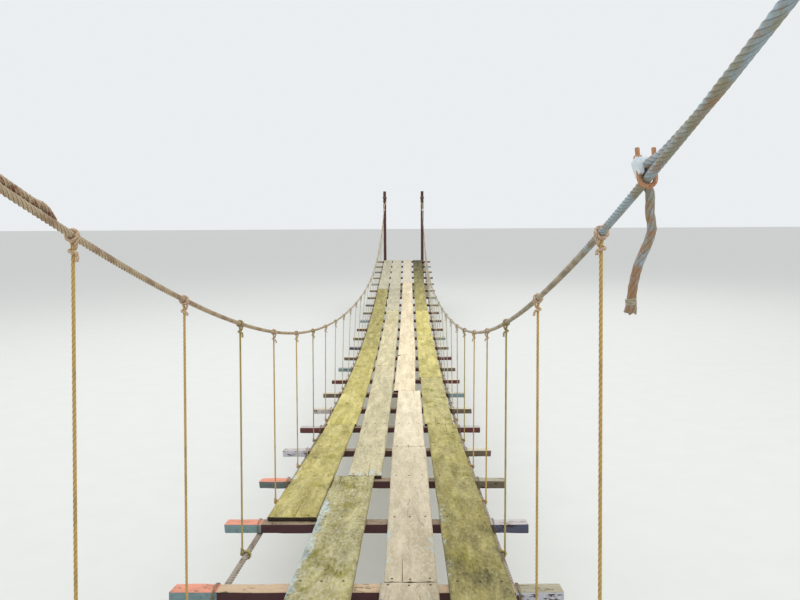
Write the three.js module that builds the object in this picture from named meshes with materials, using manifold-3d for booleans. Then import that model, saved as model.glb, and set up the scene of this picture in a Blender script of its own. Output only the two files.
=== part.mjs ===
// Rope suspension footbridge: timber crossbeams hang from two handrail cables,
// and four rows of planks are laid lengthwise on them.
// Millimetres, +Z up, +Y along the bridge from the near end to the far end.
// The origin is at mid-span, on the level that the post feet and anchor blocks stand on.
import * as THREE from 'three';
import { mergeVertices } from 'three/addons/utils/BufferGeometryUtils.js';
import Module from 'manifold-3d';

const wasm = await Module();
wasm.setup();

// Driving dimensions. A press is how far two strands that lie together sink into each other
const BAY = 970;
const BAYS = 25;
const HALF_SPAN = (BAY * BAYS) / 2;
const GAP = 0.3;

const BEAM_LENGTH = 1600;
const BEAM_DEPTH = 100;
const BEAM_HEIGHT = 50;
const BEAM_TOP_AT_MID = 550;
const DECK_RISE = 1029;
const DECK_FLATTENING = 222;

const PLANK_THICKNESS = 25;
const PLANK_OVERHANG = 30;

const CABLE_AT_MID = 1370;
const CABLE_RISE = 1132;
const CABLE_END_RISE = 620;
const CABLE_RADIUS = 10;
const HANDRAIL_PRESS = 1.5;
const CABLE_SIDES = 8;
const WIDTH_NEAR = 657;
const WIDTH_FAR = 566;
const TAPER_START = -7390;
const TAPER_LENGTH = 12000;

const STRAND_PRESS = 1;
const LOWER_CABLE_RADIUS = 14.5;
const LOWER_CABLE_PLACE = 620;
const LOWER_CABLE_GAP = 0.4;

const HANGER_RADIUS = 5;
const HANGER_SIDES = 6;
const HANGER_TOP_LEAD = 200;
const HANGER_FOOT_LEAD = 360;
const RING_OUTER_RADIUS = 28;
const RING_INNER_RADIUS = 16.1;
const RING_WIDTH = 15;
const RING_SIDES = 8;

const POST_SIZE = 85;
const POST_ABOVE_CABLE = 300;

const BACKSTAY_RADIUS = 10;
const BACKSTAY_SIDES = 6;
const BACKSTAY_ABOVE_CABLE = 120;
const BACKSTAY_REACH = 2600;
const STAY_EYE = 190;
const STAY_TAIL = 620;
const STAY_NECK = 330;

const ANCHOR_LENGTH = 1700;
const ANCHOR_DEPTH = 500;
const ANCHOR_HEIGHT = 450;
const EYE_BAR_RADIUS = 9;
const EYE_RADIUS = 45;
const EYE_STRAIGHT = 15;
const EYE_SINK = 60;

const CLIP_LEG_RADIUS = 5;
const CLIP_CLEARANCE = 1.5;
const CLIP_SADDLE = { across: 54, along: 34, high: 12 };
const CLIP_NUT_RADIUS = 9;
const CLIP_NUT_HEIGHT = 7;
const CLIP_NUT_SINK = 1;
const CLIP_BOLT_END = 24;

// Colours, roughness and metalness of each kind of piece
const paintedTimber = { color: 0x9b8f84, roughness: 0.85, metalness: 0 };
const weatheredPlank = { color: 0x9d9065, roughness: 0.9, metalness: 0 };
const greyCable = { color: 0x7f7f78, roughness: 0.6, metalness: 0.4 };
const brownCable = { color: 0x6d5240, roughness: 0.7, metalness: 0.3 };
const brownPost = { color: 0x3a201c, roughness: 0.7, metalness: 0 };
const stayRope = { color: 0x8a7355, roughness: 0.8, metalness: 0.1 };
const concrete = { color: 0x9a958b, roughness: 0.95, metalness: 0 };
const rustedSteel = { color: 0x7a4a33, roughness: 0.7, metalness: 0.5 };

const bridge = new THREE.Group();
bridge.name = 'rope_suspension_footbridge';

function material(finish) {
  return new THREE.MeshStandardMaterial(finish);
}

function addPiece(name, geometry, finish) {
  const mesh = new THREE.Mesh(geometry, material(finish));
  mesh.name = name;
  bridge.add(mesh);
  return mesh;
}

// A curve through a list of points, sampled exactly at those points,
// with a tangent that halves the angle at each of them.
class Route extends THREE.Curve {
  constructor(points) {
    super();
    this.points = points;
  }

  getPoint(t, target = new THREE.Vector3()) {
    const place = t * (this.points.length - 1);
    const index = Math.min(Math.floor(place), this.points.length - 2);
    return target.lerpVectors(this.points[index], this.points[index + 1], place - index);
  }

  getPointAt(u, target) {
    return this.getPoint(u, target);
  }

  getTangentAt(u, target = new THREE.Vector3()) {
    const last = this.points.length - 1;
    const index = Math.round(u * last);
    const here = this.points[index];
    const before = new THREE.Vector3();
    const after = new THREE.Vector3();
    if (index > 0) {
      before.subVectors(here, this.points[index - 1]).normalize();
    }
    if (index < last) {
      after.subVectors(this.points[index + 1], here).normalize();
    }
    return target.addVectors(before, after).normalize();
  }
}

// A round bar or rope along a list of points
function rope(points, radius, sides) {
  const section = new THREE.Shape();
  for (let i = 0; i < sides; i += 1) {
    const angle = (2 * Math.PI * i) / sides;
    const x = radius * Math.cos(angle);
    const y = radius * Math.sin(angle);
    if (i === 0) {
      section.moveTo(x, y);
    } else {
      section.lineTo(x, y);
    }
  }
  section.closePath();
  return new THREE.ExtrudeGeometry(section, {
    steps: points.length - 1,
    extrudePath: new Route(points),
    bevelEnabled: false,
  });
}

// A closed mesh as a solid that can be joined or cut
function solid(geometry) {
  const bare = geometry.clone();
  bare.deleteAttribute('normal');
  bare.deleteAttribute('uv');
  const merged = mergeVertices(bare, 1e-4);
  const triangles = Uint32Array.from(merged.index.array);
  const vertices = Float32Array.from(merged.attributes.position.array);
  return new wasm.Manifold(new wasm.Mesh({ numProp: 3, vertProperties: vertices, triVerts: triangles }));
}

function join(geometries) {
  return geometries.map(solid).reduce((whole, next) => whole.add(next));
}

function toGeometry(body) {
  const mesh = body.getMesh();
  const geometry = new THREE.BufferGeometry();
  geometry.setAttribute('position', new THREE.BufferAttribute(Float32Array.from(mesh.vertProperties), 3));
  geometry.setIndex(new THREE.BufferAttribute(Uint32Array.from(mesh.triVerts), 1));
  geometry.computeVertexNormals();
  return geometry;
}

// Heights and widths along the bridge, for a place y from mid-span
function beamTop(y) {
  const u = y / HALF_SPAN;
  return BEAM_TOP_AT_MID + DECK_RISE * u ** 2 - DECK_FLATTENING * u ** 4;
}

function deckSlope(y) {
  const u = y / HALF_SPAN;
  return Math.atan((2 * DECK_RISE * u - 4 * DECK_FLATTENING * u ** 3) / HALF_SPAN);
}

function cableHeight(y) {
  const u = y / HALF_SPAN;
  return CABLE_AT_MID + CABLE_RISE * u ** 2 + CABLE_END_RISE * u ** 4;
}

function cableSlope(y) {
  const u = y / HALF_SPAN;
  return Math.atan((2 * CABLE_RISE * u + 4 * CABLE_END_RISE * u ** 3) / HALF_SPAN);
}

function cableWidth(y) {
  const t = THREE.MathUtils.smoothstep(y, TAPER_START, TAPER_START + TAPER_LENGTH);
  return THREE.MathUtils.lerp(WIDTH_NEAR, WIDTH_FAR, t);
}

function beamPlace(index) {
  return index * BAY - HALF_SPAN;
}

// How far the tilted end beam reaches towards the post, and so where the post stands
const END_TILT = deckSlope(HALF_SPAN);
const END_REACH = (BEAM_DEPTH / 2) * Math.cos(END_TILT) + BEAM_HEIGHT * Math.sin(END_TILT);
const POST_PLACE = HALF_SPAN + END_REACH + GAP + POST_SIZE / 2;

// Crossbeams, each tilted to the slope of the deck at its place, its top face on the deck line
function beamGeometry() {
  const geometry = new THREE.BoxGeometry(BEAM_LENGTH, BEAM_DEPTH, BEAM_HEIGHT);
  geometry.translate(0, 0, -BEAM_HEIGHT / 2);
  return geometry;
}

function placeOnDeckLine(mesh, y) {
  mesh.rotation.x = deckSlope(y);
  mesh.position.set(0, y, beamTop(y));
}

for (let i = 0; i <= BAYS; i += 1) {
  let name = `crossbeam_${String(i).padStart(2, '0')}`;
  if (i === 0) {
    name = 'end_beam_near';
  } else if (i === BAYS) {
    name = 'end_beam_far';
  }
  placeOnDeckLine(addPiece(name, beamGeometry(), paintedTimber), beamPlace(i));
}

// A strip of planks from beam to beam: its side outline, drawn along the bridge and pushed across.
// past is how far each end reaches beyond the middle of its beam.
function plankStrip({ from, to, left, right }, past) {
  const lower = [];
  const upper = [];
  for (let i = from; i <= to; i += 1) {
    let y = beamPlace(i);
    if (i === from) {
      y -= past.first;
    } else if (i === to) {
      y += past.last;
    }
    lower.push([y, beamTop(y) + GAP]);
    upper.unshift([y, beamTop(y) + GAP + PLANK_THICKNESS]);
  }
  const outline = new THREE.Shape([...lower, ...upper].map(([y, z]) => new THREE.Vector2(y, z)));
  const geometry = new THREE.ExtrudeGeometry(outline, { depth: right - left, bevelEnabled: false });
  geometry.applyMatrix4(new THREE.Matrix4().set(0, 0, 1, left, 1, 0, 0, 0, 0, 1, 0, 0, 0, 0, 0, 1));
  return geometry;
}

// Four rows of planks from left to right. Each row lies in three stretches that butt on the joint
// beams, and planks of one stretch that step sideways overlap a little where they meet. The first
// row lost its plank at the near end.
const JOINT_BEAMS = [7, 18];
const ROWS = [
  {
    near: [{ from: 4, to: 7, left: -575, right: -316 }],
    middle: [{ from: 7, to: 18, left: -587, right: -312 }],
    far: [{ from: 18, to: 25, left: -595, right: -351 }],
  },
  {
    near: [{ from: 0, to: 5, left: -310, right: -53 }, { from: 5, to: 7, left: -236, right: -10 }],
    middle: [{ from: 7, to: 18, left: -292, right: -32 }],
    far: [{ from: 18, to: 25, left: -318, right: -52 }],
  },
  {
    near: [{ from: 0, to: 7, left: 57, right: 295 }],
    middle: [{ from: 7, to: 9, left: 46, right: 295 }, { from: 9, to: 18, left: 0, right: 262 }],
    far: [{ from: 18, to: 25, left: 0, right: 242 }],
  },
  {
    near: [{ from: 0, to: 7, left: 336, right: 590 }],
    middle: [{ from: 7, to: 18, left: 306, right: 572 }],
    far: [{ from: 18, to: 25, left: 291, right: 552 }],
  },
];

// How far a plank reaches beyond the middle of the beam at one of its ends
function reachPast(beam) {
  return JOINT_BEAMS.includes(beam) ? -GAP / 2 : PLANK_OVERHANG;
}

ROWS.forEach((row, index) => {
  for (const [stretch, planks] of Object.entries(row)) {
    const strips = planks.map((plank) => {
      const past = { first: reachPast(plank.from), last: reachPast(plank.to) };
      return plankStrip(plank, past);
    });
    const geometry = strips.length > 1 ? toGeometry(join(strips)) : strips[0];
    addPiece(`plank_row_${index + 1}_${stretch}`, geometry, weatheredPlank);
  }
});

// Points of a half turn of rope round a square post, from one side of it to the other.
// start and end are the sides (-1 or 1 across the bridge); way is the side of the post
// (-1 or 1 along the bridge) that the turn passes.
function turnRoundPost(postX, postY, height, radius, start, way) {
  const half = POST_SIZE / 2;
  const offset = radius + 2 * GAP;
  const points = [];
  const front = (sideX) => {
    points.push(new THREE.Vector3(postX + sideX * (half + offset), postY - way * half, height));
  };
  const corner = (sideX, from) => {
    for (let step = 0; step <= 2; step += 1) {
      const angle = (Math.PI / 2) * (step / 2);
      const outX = from ? Math.cos(angle) : Math.sin(angle);
      const outY = from ? Math.sin(angle) : Math.cos(angle);
      points.push(new THREE.Vector3(
        postX + sideX * (half + offset * outX),
        postY + way * (half + offset * outY),
        height,
      ));
    }
  };
  front(start);
  corner(start, true);
  corner(-start, false);
  front(-start);
  return points;
}

// The end of a turn, from which the strand that comes back goes on
function lastStretch(turn) {
  const [before, end] = turn.slice(-2);
  return [new THREE.Vector3().lerpVectors(before, end, 0.5), end];
}

const mirrored = { left: -1, right: 1 };
const along = { near: -1, far: 1 };

// Where each handrail cable is clipped back on itself, and how its tail lies
const CABLE_ENDS = {
  near: {
    left: { clip: 800, tail: 1750 },
    right: { clip: 1460, hangs: true },
  },
  far: {
    left: { clip: 800, tail: 1300 },
    right: { clip: 800, tail: 1300 },
  },
};
const EYE_OF_LOOP = 420;
const RETURN_LIFT = 2 * CABLE_RADIUS - HANDRAIL_PRESS;

// Between its clip and its loop, the strand with the hanging tail leans to the outer side of the cable
const LEAN_ANGLE = THREE.MathUtils.degToRad(42);
const LEAN_LENGTH = 300;

// The tail that hangs from the near right clip: across, and down from the cable
const HANGING_TAIL = [
  [22, -10],
  [22, -50],
  [28, -86],
  [21, -111],
  [3, -153],
  [-9, -205],
  [-13, -259],
];

// The first hanger on the right has gone
const MISSING_HANGER = { side: 'right', index: 1 };

function cableCentre(side, y) {
  return new THREE.Vector3(mirrored[side] * cableWidth(y), y, cableHeight(y));
}

// Places along the bridge where a handrail cable is straightened through its clip
function clipPlaces(end, side) {
  const clipY = along[end] * (POST_PLACE - CABLE_ENDS[end][side].clip);
  return [clipY - CLIP_SADDLE.along, clipY + CLIP_SADDLE.along];
}

// The strand that comes back from the loop and lies on the cable, from the post to its tail
function returnStrand(end, side) {
  const dir = along[end];
  const { clip, tail, hangs } = CABLE_ENDS[end][side];
  const reach = hangs ? clip + CLIP_SADDLE.along : tail;
  const places = [POST_PLACE - EYE_OF_LOOP, POST_PLACE - reach];
  for (let i = 1; i < BAYS; i += 1) {
    places.push(Math.abs(beamPlace(i)));
  }
  places.push(...clipPlaces(end, side).map(Math.abs));
  const onCable = [...new Set(places)]
    .filter((place) => place <= places[0] && place >= places[1])
    .sort((a, b) => b - a);
  const strand = onCable.map((place) => {
    const leaning = THREE.MathUtils.clamp((place - onCable[onCable.length - 1]) / LEAN_LENGTH, 0, 1);
    const angle = hangs ? LEAN_ANGLE * leaning : 0;
    const offset = new THREE.Vector3(mirrored[side] * Math.sin(angle), 0, Math.cos(angle));
    return cableCentre(side, dir * place).addScaledVector(offset, RETURN_LIFT);
  });
  if (hangs) {
    const from = cableCentre(side, dir * (POST_PLACE - reach - 2 * CABLE_RADIUS));
    for (const [across, down] of HANGING_TAIL) {
      strand.push(from.clone().add(new THREE.Vector3(across, 0, down)));
    }
  }
  return strand;
}

// One handrail cable: the run between the posts, a loop round each post and the strands that come back
function handrailCable(side) {
  const sign = mirrored[side];
  const places = [...clipPlaces('near', side), ...clipPlaces('far', side)];
  places.push(EYE_OF_LOOP - POST_PLACE, POST_PLACE - EYE_OF_LOOP);
  for (let i = 1; i < BAYS; i += 1) {
    places.push(beamPlace(i));
  }
  const run = places.sort((a, b) => a - b).map((y) => cableCentre(side, y));
  const strands = [];
  for (const end of ['near', 'far']) {
    const dir = along[end];
    const postX = sign * cableWidth(dir * HALF_SPAN);
    const postY = dir * POST_PLACE;
    const turn = turnRoundPost(postX, postY, cableHeight(postY), CABLE_RADIUS, -sign, dir);
    strands.push([...lastStretch(turn), ...returnStrand(end, side)]);
    if (end === 'near') {
      run.unshift(...turn.reverse());
    } else {
      run.push(...turn);
    }
  }
  return [run, ...strands].map((points) => rope(points, CABLE_RADIUS, CABLE_SIDES));
}

// The side of a post that the lower cable passes: the near posts stand outside it, the far ones inside
const POST_SIDE = { near: -1, far: 1 };

// The centre of a lower cable under the deck line, at a place along the bridge
function lowerCentre(side, y) {
  const tilt = deckSlope(y);
  const drop = BEAM_HEIGHT + LOWER_CABLE_GAP + LOWER_CABLE_RADIUS;
  const end = y < 0 ? 'near' : 'far';
  const besidePost = cableWidth(y) + POST_SIDE[end] * (POST_SIZE / 2 + LOWER_CABLE_RADIUS + 2 * GAP);
  const place = Math.abs(y) < HALF_SPAN - GAP ? LOWER_CABLE_PLACE : besidePost;
  return new THREE.Vector3(
    mirrored[side] * place,
    y + drop * Math.sin(tilt),
    beamTop(y) - drop * Math.cos(tilt),
  );
}

// A point on the straight stretch of lower cable between two crossbeams
function lowerCableAt(side, y) {
  const index = Math.floor((y + HALF_SPAN) / BAY);
  const before = lowerCentre(side, beamPlace(index));
  const after = lowerCentre(side, beamPlace(index + 1));
  return new THREE.Vector3().lerpVectors(before, after, (y - before.y) / (after.y - before.y));
}

// A flat ring with straight sides, its axis along the bridge
function ringGeometry() {
  const corners = (radius) => Array.from({ length: RING_SIDES }, (_, i) => {
    const angle = (2 * Math.PI * i) / RING_SIDES;
    return new THREE.Vector2(radius * Math.cos(angle), radius * Math.sin(angle));
  });
  const outline = new THREE.Shape(corners(RING_OUTER_RADIUS));
  outline.holes.push(new THREE.Path(corners(RING_INNER_RADIUS)));
  const ring = new THREE.ExtrudeGeometry(outline, { depth: RING_WIDTH, bevelEnabled: false });
  ring.translate(0, 0, -RING_WIDTH / 2);
  ring.rotateX(Math.PI / 2);
  return ring;
}

// A hanger: a rope from the handrail cable down to a ring of rope round the lower cable. Both of its
// ends are before the crossbeam, the foot further than the top
function hanger(side, index) {
  const footY = beamPlace(index) - HANGER_FOOT_LEAD;
  const centre = lowerCableAt(side, footY);
  const ring = ringGeometry();
  ring.rotateX(deckSlope(footY));
  ring.translate(centre.x, centre.y, centre.z);
  const ropeInRing = (RING_OUTER_RADIUS + RING_INNER_RADIUS) / 2;
  const foot = centre.clone().add(new THREE.Vector3(mirrored[side] * ropeInRing, 0, 0));
  const top = cableCentre(side, beamPlace(index) - HANGER_TOP_LEAD);
  return [rope([top, foot], HANGER_RADIUS, HANGER_SIDES), ring];
}

for (const side of ['left', 'right']) {
  const bodies = handrailCable(side);
  for (let i = 1; i < BAYS; i += 1) {
    if (side !== MISSING_HANGER.side || i !== MISSING_HANGER.index) {
      bodies.push(...hanger(side, i));
    }
  }
  addPiece(`handrail_cable_and_hangers_${side}`, toGeometry(join(bodies)), greyCable);
}

// A lower cable: it runs under the crossbeams and is looped round the post at each end
function lowerCable(side) {
  const sign = mirrored[side];
  const run = [];
  const ends = [];
  for (let i = 0; i <= BAYS; i += 1) {
    run.push(lowerCentre(side, beamPlace(i)));
  }
  for (const end of ['near', 'far']) {
    const dir = along[end];
    const postX = sign * cableWidth(dir * HALF_SPAN);
    const last = end === 'near' ? run[0] : run[run.length - 1];
    const start = sign * POST_SIDE[end];
    const turn = turnRoundPost(postX, dir * POST_PLACE, last.z, LOWER_CABLE_RADIUS, start, dir);
    const back = lowerCableAt(side, dir * (POST_PLACE - EYE_OF_LOOP));
    back.z -= 2 * LOWER_CABLE_RADIUS - STRAND_PRESS;
    ends.push([...lastStretch(turn), back]);
    if (end === 'near') {
      run.unshift(...turn.reverse());
    } else {
      run.push(...turn);
    }
  }
  return [run, ...ends].map((points) => rope(points, LOWER_CABLE_RADIUS, CABLE_SIDES));
}

for (const side of ['left', 'right']) {
  addPiece(`lower_cable_${side}`, toGeometry(join(lowerCable(side))), brownCable);
}

// Towers: two slender posts at each end, from the ground to above the handrail cable
const POST_HEIGHT = cableHeight(POST_PLACE) + POST_ABOVE_CABLE;
const ANCHOR_PLACE = POST_PLACE + BACKSTAY_REACH;

for (const end of ['near', 'far']) {
  for (const side of ['left', 'right']) {
    const post = new THREE.BoxGeometry(POST_SIZE, POST_SIZE, POST_HEIGHT);
    const x = mirrored[side] * cableWidth(along[end] * HALF_SPAN);
    post.translate(x, along[end] * POST_PLACE, POST_HEIGHT / 2);
    addPiece(`post_${end}_${side}`, post, brownPost);
  }
}

// Anchor blocks with an eye cast in for each backstay
function eye(x, y) {
  const steps = 8;
  const points = [new THREE.Vector3(x - EYE_RADIUS, y, ANCHOR_HEIGHT - EYE_SINK)];
  for (let i = 0; i <= steps; i += 1) {
    const angle = Math.PI - (Math.PI * i) / steps;
    const across = EYE_RADIUS * Math.cos(angle);
    const up = EYE_STRAIGHT + EYE_RADIUS * Math.sin(angle);
    points.push(new THREE.Vector3(x + across, y, ANCHOR_HEIGHT + up));
  }
  points.push(new THREE.Vector3(x + EYE_RADIUS, y, ANCHOR_HEIGHT - EYE_SINK));
  return rope(points, EYE_BAR_RADIUS, BACKSTAY_SIDES);
}

for (const end of ['near', 'far']) {
  const y = along[end] * ANCHOR_PLACE;
  const block = new THREE.BoxGeometry(ANCHOR_LENGTH, ANCHOR_DEPTH, ANCHOR_HEIGHT);
  block.translate(0, y, ANCHOR_HEIGHT / 2);
  const width = cableWidth(along[end] * HALF_SPAN);
  addPiece(`anchor_block_${end}`, toGeometry(join([block, eye(-width, y), eye(width, y)])), concrete);
}

// A backstay: looped round the post head, and hooked round the bar of its eye at the anchor
function backstay(end, side) {
  const dir = along[end];
  const postX = mirrored[side] * cableWidth(dir * HALF_SPAN);
  const postY = dir * POST_PLACE;
  const head = new THREE.Vector3(postX, postY, cableHeight(POST_PLACE) + BACKSTAY_ABOVE_CABLE);
  const bar = new THREE.Vector3(postX, dir * ANCHOR_PLACE, ANCHOR_HEIGHT + EYE_STRAIGHT + EYE_RADIUS);
  const down = new THREE.Vector3().subVectors(bar, head).normalize();
  const upper = new THREE.Vector3(0, -dir * down.z, dir * down.y);
  const hookRadius = EYE_BAR_RADIUS + BACKSTAY_RADIUS + 2 * GAP;
  const onStay = (fromBar, offset) => bar.clone()
    .addScaledVector(down, -fromBar)
    .addScaledVector(upper, offset);
  const stayLength = head.distanceTo(bar);
  const together = hookRadius - 2 * BACKSTAY_RADIUS + STRAND_PRESS;
  const hook = [];
  const steps = 5;
  for (let i = 0; i <= steps; i += 1) {
    const angle = (Math.PI * i) / steps;
    hook.push(bar.clone()
      .addScaledVector(upper, -hookRadius * Math.cos(angle))
      .addScaledVector(down, hookRadius * Math.sin(angle)));
  }
  hook.push(onStay(STAY_EYE, -together), onStay(STAY_TAIL, -together));
  const turn = turnRoundPost(postX, postY, head.z, BACKSTAY_RADIUS, -mirrored[side], -dir);
  const neck = stayLength - STAY_NECK;
  const tail = [
    ...lastStretch(turn),
    onStay(neck, -together),
    onStay(stayLength - STAY_TAIL, -together),
  ];
  const main = [...turn.reverse(), onStay(neck, -hookRadius), onStay(STAY_EYE, -hookRadius), ...hook];
  return [main, tail].map((points) => rope(points, BACKSTAY_RADIUS, BACKSTAY_SIDES));
}

for (const end of ['near', 'far']) {
  for (const side of ['left', 'right']) {
    addPiece(`backstay_${end}_${side}`, toGeometry(join(backstay(end, side))), stayRope);
  }
}

// A wire rope clip: a U-bolt from below, a saddle on top of the two strands, and two nuts
function clipGeometry(slope) {
  const legX = CABLE_RADIUS + CLIP_CLEARANCE + CLIP_LEG_RADIUS;
  const strandApart = RETURN_LIFT * Math.cos(slope);
  const saddleTop = strandApart + CABLE_RADIUS + GAP + CLIP_SADDLE.high;
  const legTop = saddleTop + CLIP_BOLT_END;
  const points = [new THREE.Vector3(-legX, 0, legTop), new THREE.Vector3(-legX, 0, 0)];
  const steps = 6;
  for (let i = 1; i < steps; i += 1) {
    const angle = Math.PI + (Math.PI * i) / steps;
    points.push(new THREE.Vector3(legX * Math.cos(angle), 0, legX * Math.sin(angle)));
  }
  points.push(new THREE.Vector3(legX, 0, 0), new THREE.Vector3(legX, 0, legTop));
  const saddle = new THREE.BoxGeometry(CLIP_SADDLE.across, CLIP_SADDLE.along, CLIP_SADDLE.high);
  saddle.translate(0, 0, saddleTop - CLIP_SADDLE.high / 2);
  const pieces = [rope(points, CLIP_LEG_RADIUS, HANGER_SIDES), saddle];
  for (const x of [-legX, legX]) {
    const nut = new THREE.CylinderGeometry(CLIP_NUT_RADIUS, CLIP_NUT_RADIUS, CLIP_NUT_HEIGHT, 6);
    nut.rotateX(Math.PI / 2);
    nut.translate(x, 0, saddleTop + CLIP_NUT_HEIGHT / 2 - CLIP_NUT_SINK);
    pieces.push(nut);
  }
  return toGeometry(join(pieces));
}

for (const end of ['near', 'far']) {
  for (const side of ['left', 'right']) {
    const y = along[end] * (POST_PLACE - CABLE_ENDS[end][side].clip);
    const slope = cableSlope(y);
    const clip = addPiece(`cable_clip_${end}_${side}`, clipGeometry(slope), rustedSteel);
    clip.rotation.x = slope;
    clip.position.copy(cableCentre(side, y));
  }
}

export default bridge;
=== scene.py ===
# %% [markdown]
# A rope suspension footbridge, dressed for a picture.
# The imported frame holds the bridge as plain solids: crossbeams, strips of planks, cables and posts.
# This lesson keeps every solid's place and gives the pieces their real form: ropes twisted from
# strands, single sawn boards with nails, flaking paint on the crossbeams, wire lashings and knots.

# %% Load the frame
import math
import random
from bisect import bisect_right

import bmesh
import bpy
from mathutils import Matrix, Vector, noise


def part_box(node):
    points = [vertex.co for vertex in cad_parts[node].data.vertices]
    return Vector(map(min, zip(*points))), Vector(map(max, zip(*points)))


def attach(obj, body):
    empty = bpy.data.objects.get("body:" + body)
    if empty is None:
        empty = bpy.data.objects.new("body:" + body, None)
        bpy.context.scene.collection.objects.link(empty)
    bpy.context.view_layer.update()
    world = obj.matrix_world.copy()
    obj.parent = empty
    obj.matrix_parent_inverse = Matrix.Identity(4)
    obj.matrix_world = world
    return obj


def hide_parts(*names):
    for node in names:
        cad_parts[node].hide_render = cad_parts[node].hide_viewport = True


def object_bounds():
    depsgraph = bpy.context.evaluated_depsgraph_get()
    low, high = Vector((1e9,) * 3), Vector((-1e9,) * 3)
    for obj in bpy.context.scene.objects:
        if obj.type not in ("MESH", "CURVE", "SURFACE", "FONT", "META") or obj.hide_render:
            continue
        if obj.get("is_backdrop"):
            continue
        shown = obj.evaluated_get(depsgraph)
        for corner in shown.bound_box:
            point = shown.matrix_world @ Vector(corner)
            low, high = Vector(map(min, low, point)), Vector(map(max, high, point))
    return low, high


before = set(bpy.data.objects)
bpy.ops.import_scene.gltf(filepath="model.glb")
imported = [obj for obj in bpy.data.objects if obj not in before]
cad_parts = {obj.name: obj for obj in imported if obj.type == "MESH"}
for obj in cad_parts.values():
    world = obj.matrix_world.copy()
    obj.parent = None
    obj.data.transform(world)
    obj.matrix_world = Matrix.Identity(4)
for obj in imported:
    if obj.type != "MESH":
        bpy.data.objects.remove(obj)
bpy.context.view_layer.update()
print("frame holds", len(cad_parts), "nodes")

# %% [markdown]
# The bridge hangs in two curves, one for the deck and one for the handrail cables, both lowest at
# mid-span. Each is a quadratic with a small fourth power, because the ends of a footbridge are
# stiffer than its middle. They could be read from the frame's meshes, but the two formulas are
# shorter, and a look at one crossbeam's box shows that they agree with the frame.

# %% Lines of the deck and the cables
BAY, BAYS = 0.97, 25
HALF_SPAN = BAY * BAYS / 2
SIDES = {"left": -1, "right": 1}
POST_SIZE = 0.085


def clamp(value):
    return min(1, max(0, value))


def blend(low, high, t):
    return low + (high - low) * t


def steps_up(value, low, high):
    """0 below low, 1 above high, and smooth between them."""
    t = clamp((value - low) / (high - low))
    return t * t * (3 - 2 * t)


def sagging(lowest, square, fourth):
    """The height and the slope of a curve that is lowest at mid-span."""
    def height(y):
        u = y / HALF_SPAN
        return lowest + square * u ** 2 + fourth * u ** 4

    def slope(y):
        u = y / HALF_SPAN
        return math.atan((2 * square * u + 4 * fourth * u ** 3) / HALF_SPAN)

    return height, slope


deck_line, deck_slope = sagging(0.550, 1.029, -0.222)
cable_line, cable_slope = sagging(1.370, 1.132, 0.620)


def cable_width(y):
    return blend(0.657, 0.566, steps_up(y, -7.39, 4.61))


def beam_place(index):
    return index * BAY - HALF_SPAN


def cable_point(side, y, lift=0.0):
    return Vector((SIDES[side] * cable_width(y), y, cable_line(y) + lift))


def heading(slope):
    return Vector((0, math.cos(slope), math.sin(slope)))


POST_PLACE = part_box("post_far_left")[0].y + POST_SIZE / 2
ANCHOR_PLACE = sum(corner.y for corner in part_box("anchor_block_far")) / 2
print("mid-span deck", round(deck_line(0), 3), "m, crossbeam_12 top", round(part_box("crossbeam_12")[1].z, 3))
print("posts stand", round(POST_PLACE, 3), "m from mid-span, anchors", round(ANCHOR_PLACE, 3))

# %% [markdown]
# The camera is at eye level on the near end of the deck, a little right of its middle, and looks
# slightly down along it. The numbers come from a fit of the crossbeams, the hangers and the
# cables to their places in the picture.

# %% Camera
CAMERA_PLACE = Vector((0.183, -12.39, 2.565))
CAMERA_PITCH, CAMERA_YAW, CAMERA_ROLL = 0.0976, 0.0123, -0.0057
camera_data = bpy.data.cameras.new("camera")
camera_data.lens = 36.3
camera_data.sensor_width = 36
camera_data.clip_start = 0.05
camera = bpy.data.objects.new("camera", camera_data)
bpy.context.scene.collection.objects.link(camera)
camera.matrix_world = (
    Matrix.Translation(CAMERA_PLACE)
    @ Matrix.Rotation(CAMERA_YAW, 4, "Z")
    @ Matrix.Rotation(math.pi / 2 - CAMERA_PITCH, 4, "X")
    @ Matrix.Rotation(CAMERA_ROLL, 4, "Z")
)
bpy.context.scene.camera = camera
print("camera at", tuple(CAMERA_PLACE))

# %% [markdown]
# Every finish on this bridge is weathered: paint over timber, moss over boards, rust over steel.
# Such a finish is layers of noise, each one masked and mixed over the last. The nodes could be
# wired by hand for each material; a small class with short names for the usual nodes keeps each
# finish readable. Colours are written as screen values and turned into Blender's linear ones.

# %% Helpers for finishes
EVEN = (1, 1, 1)


def linear(value):
    share = value / 255
    return share / 12.92 if share <= 0.04045 else ((share + 0.055) / 1.055) ** 2.4


def tint(colour):
    return (*map(linear, colour), 1.0)


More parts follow.
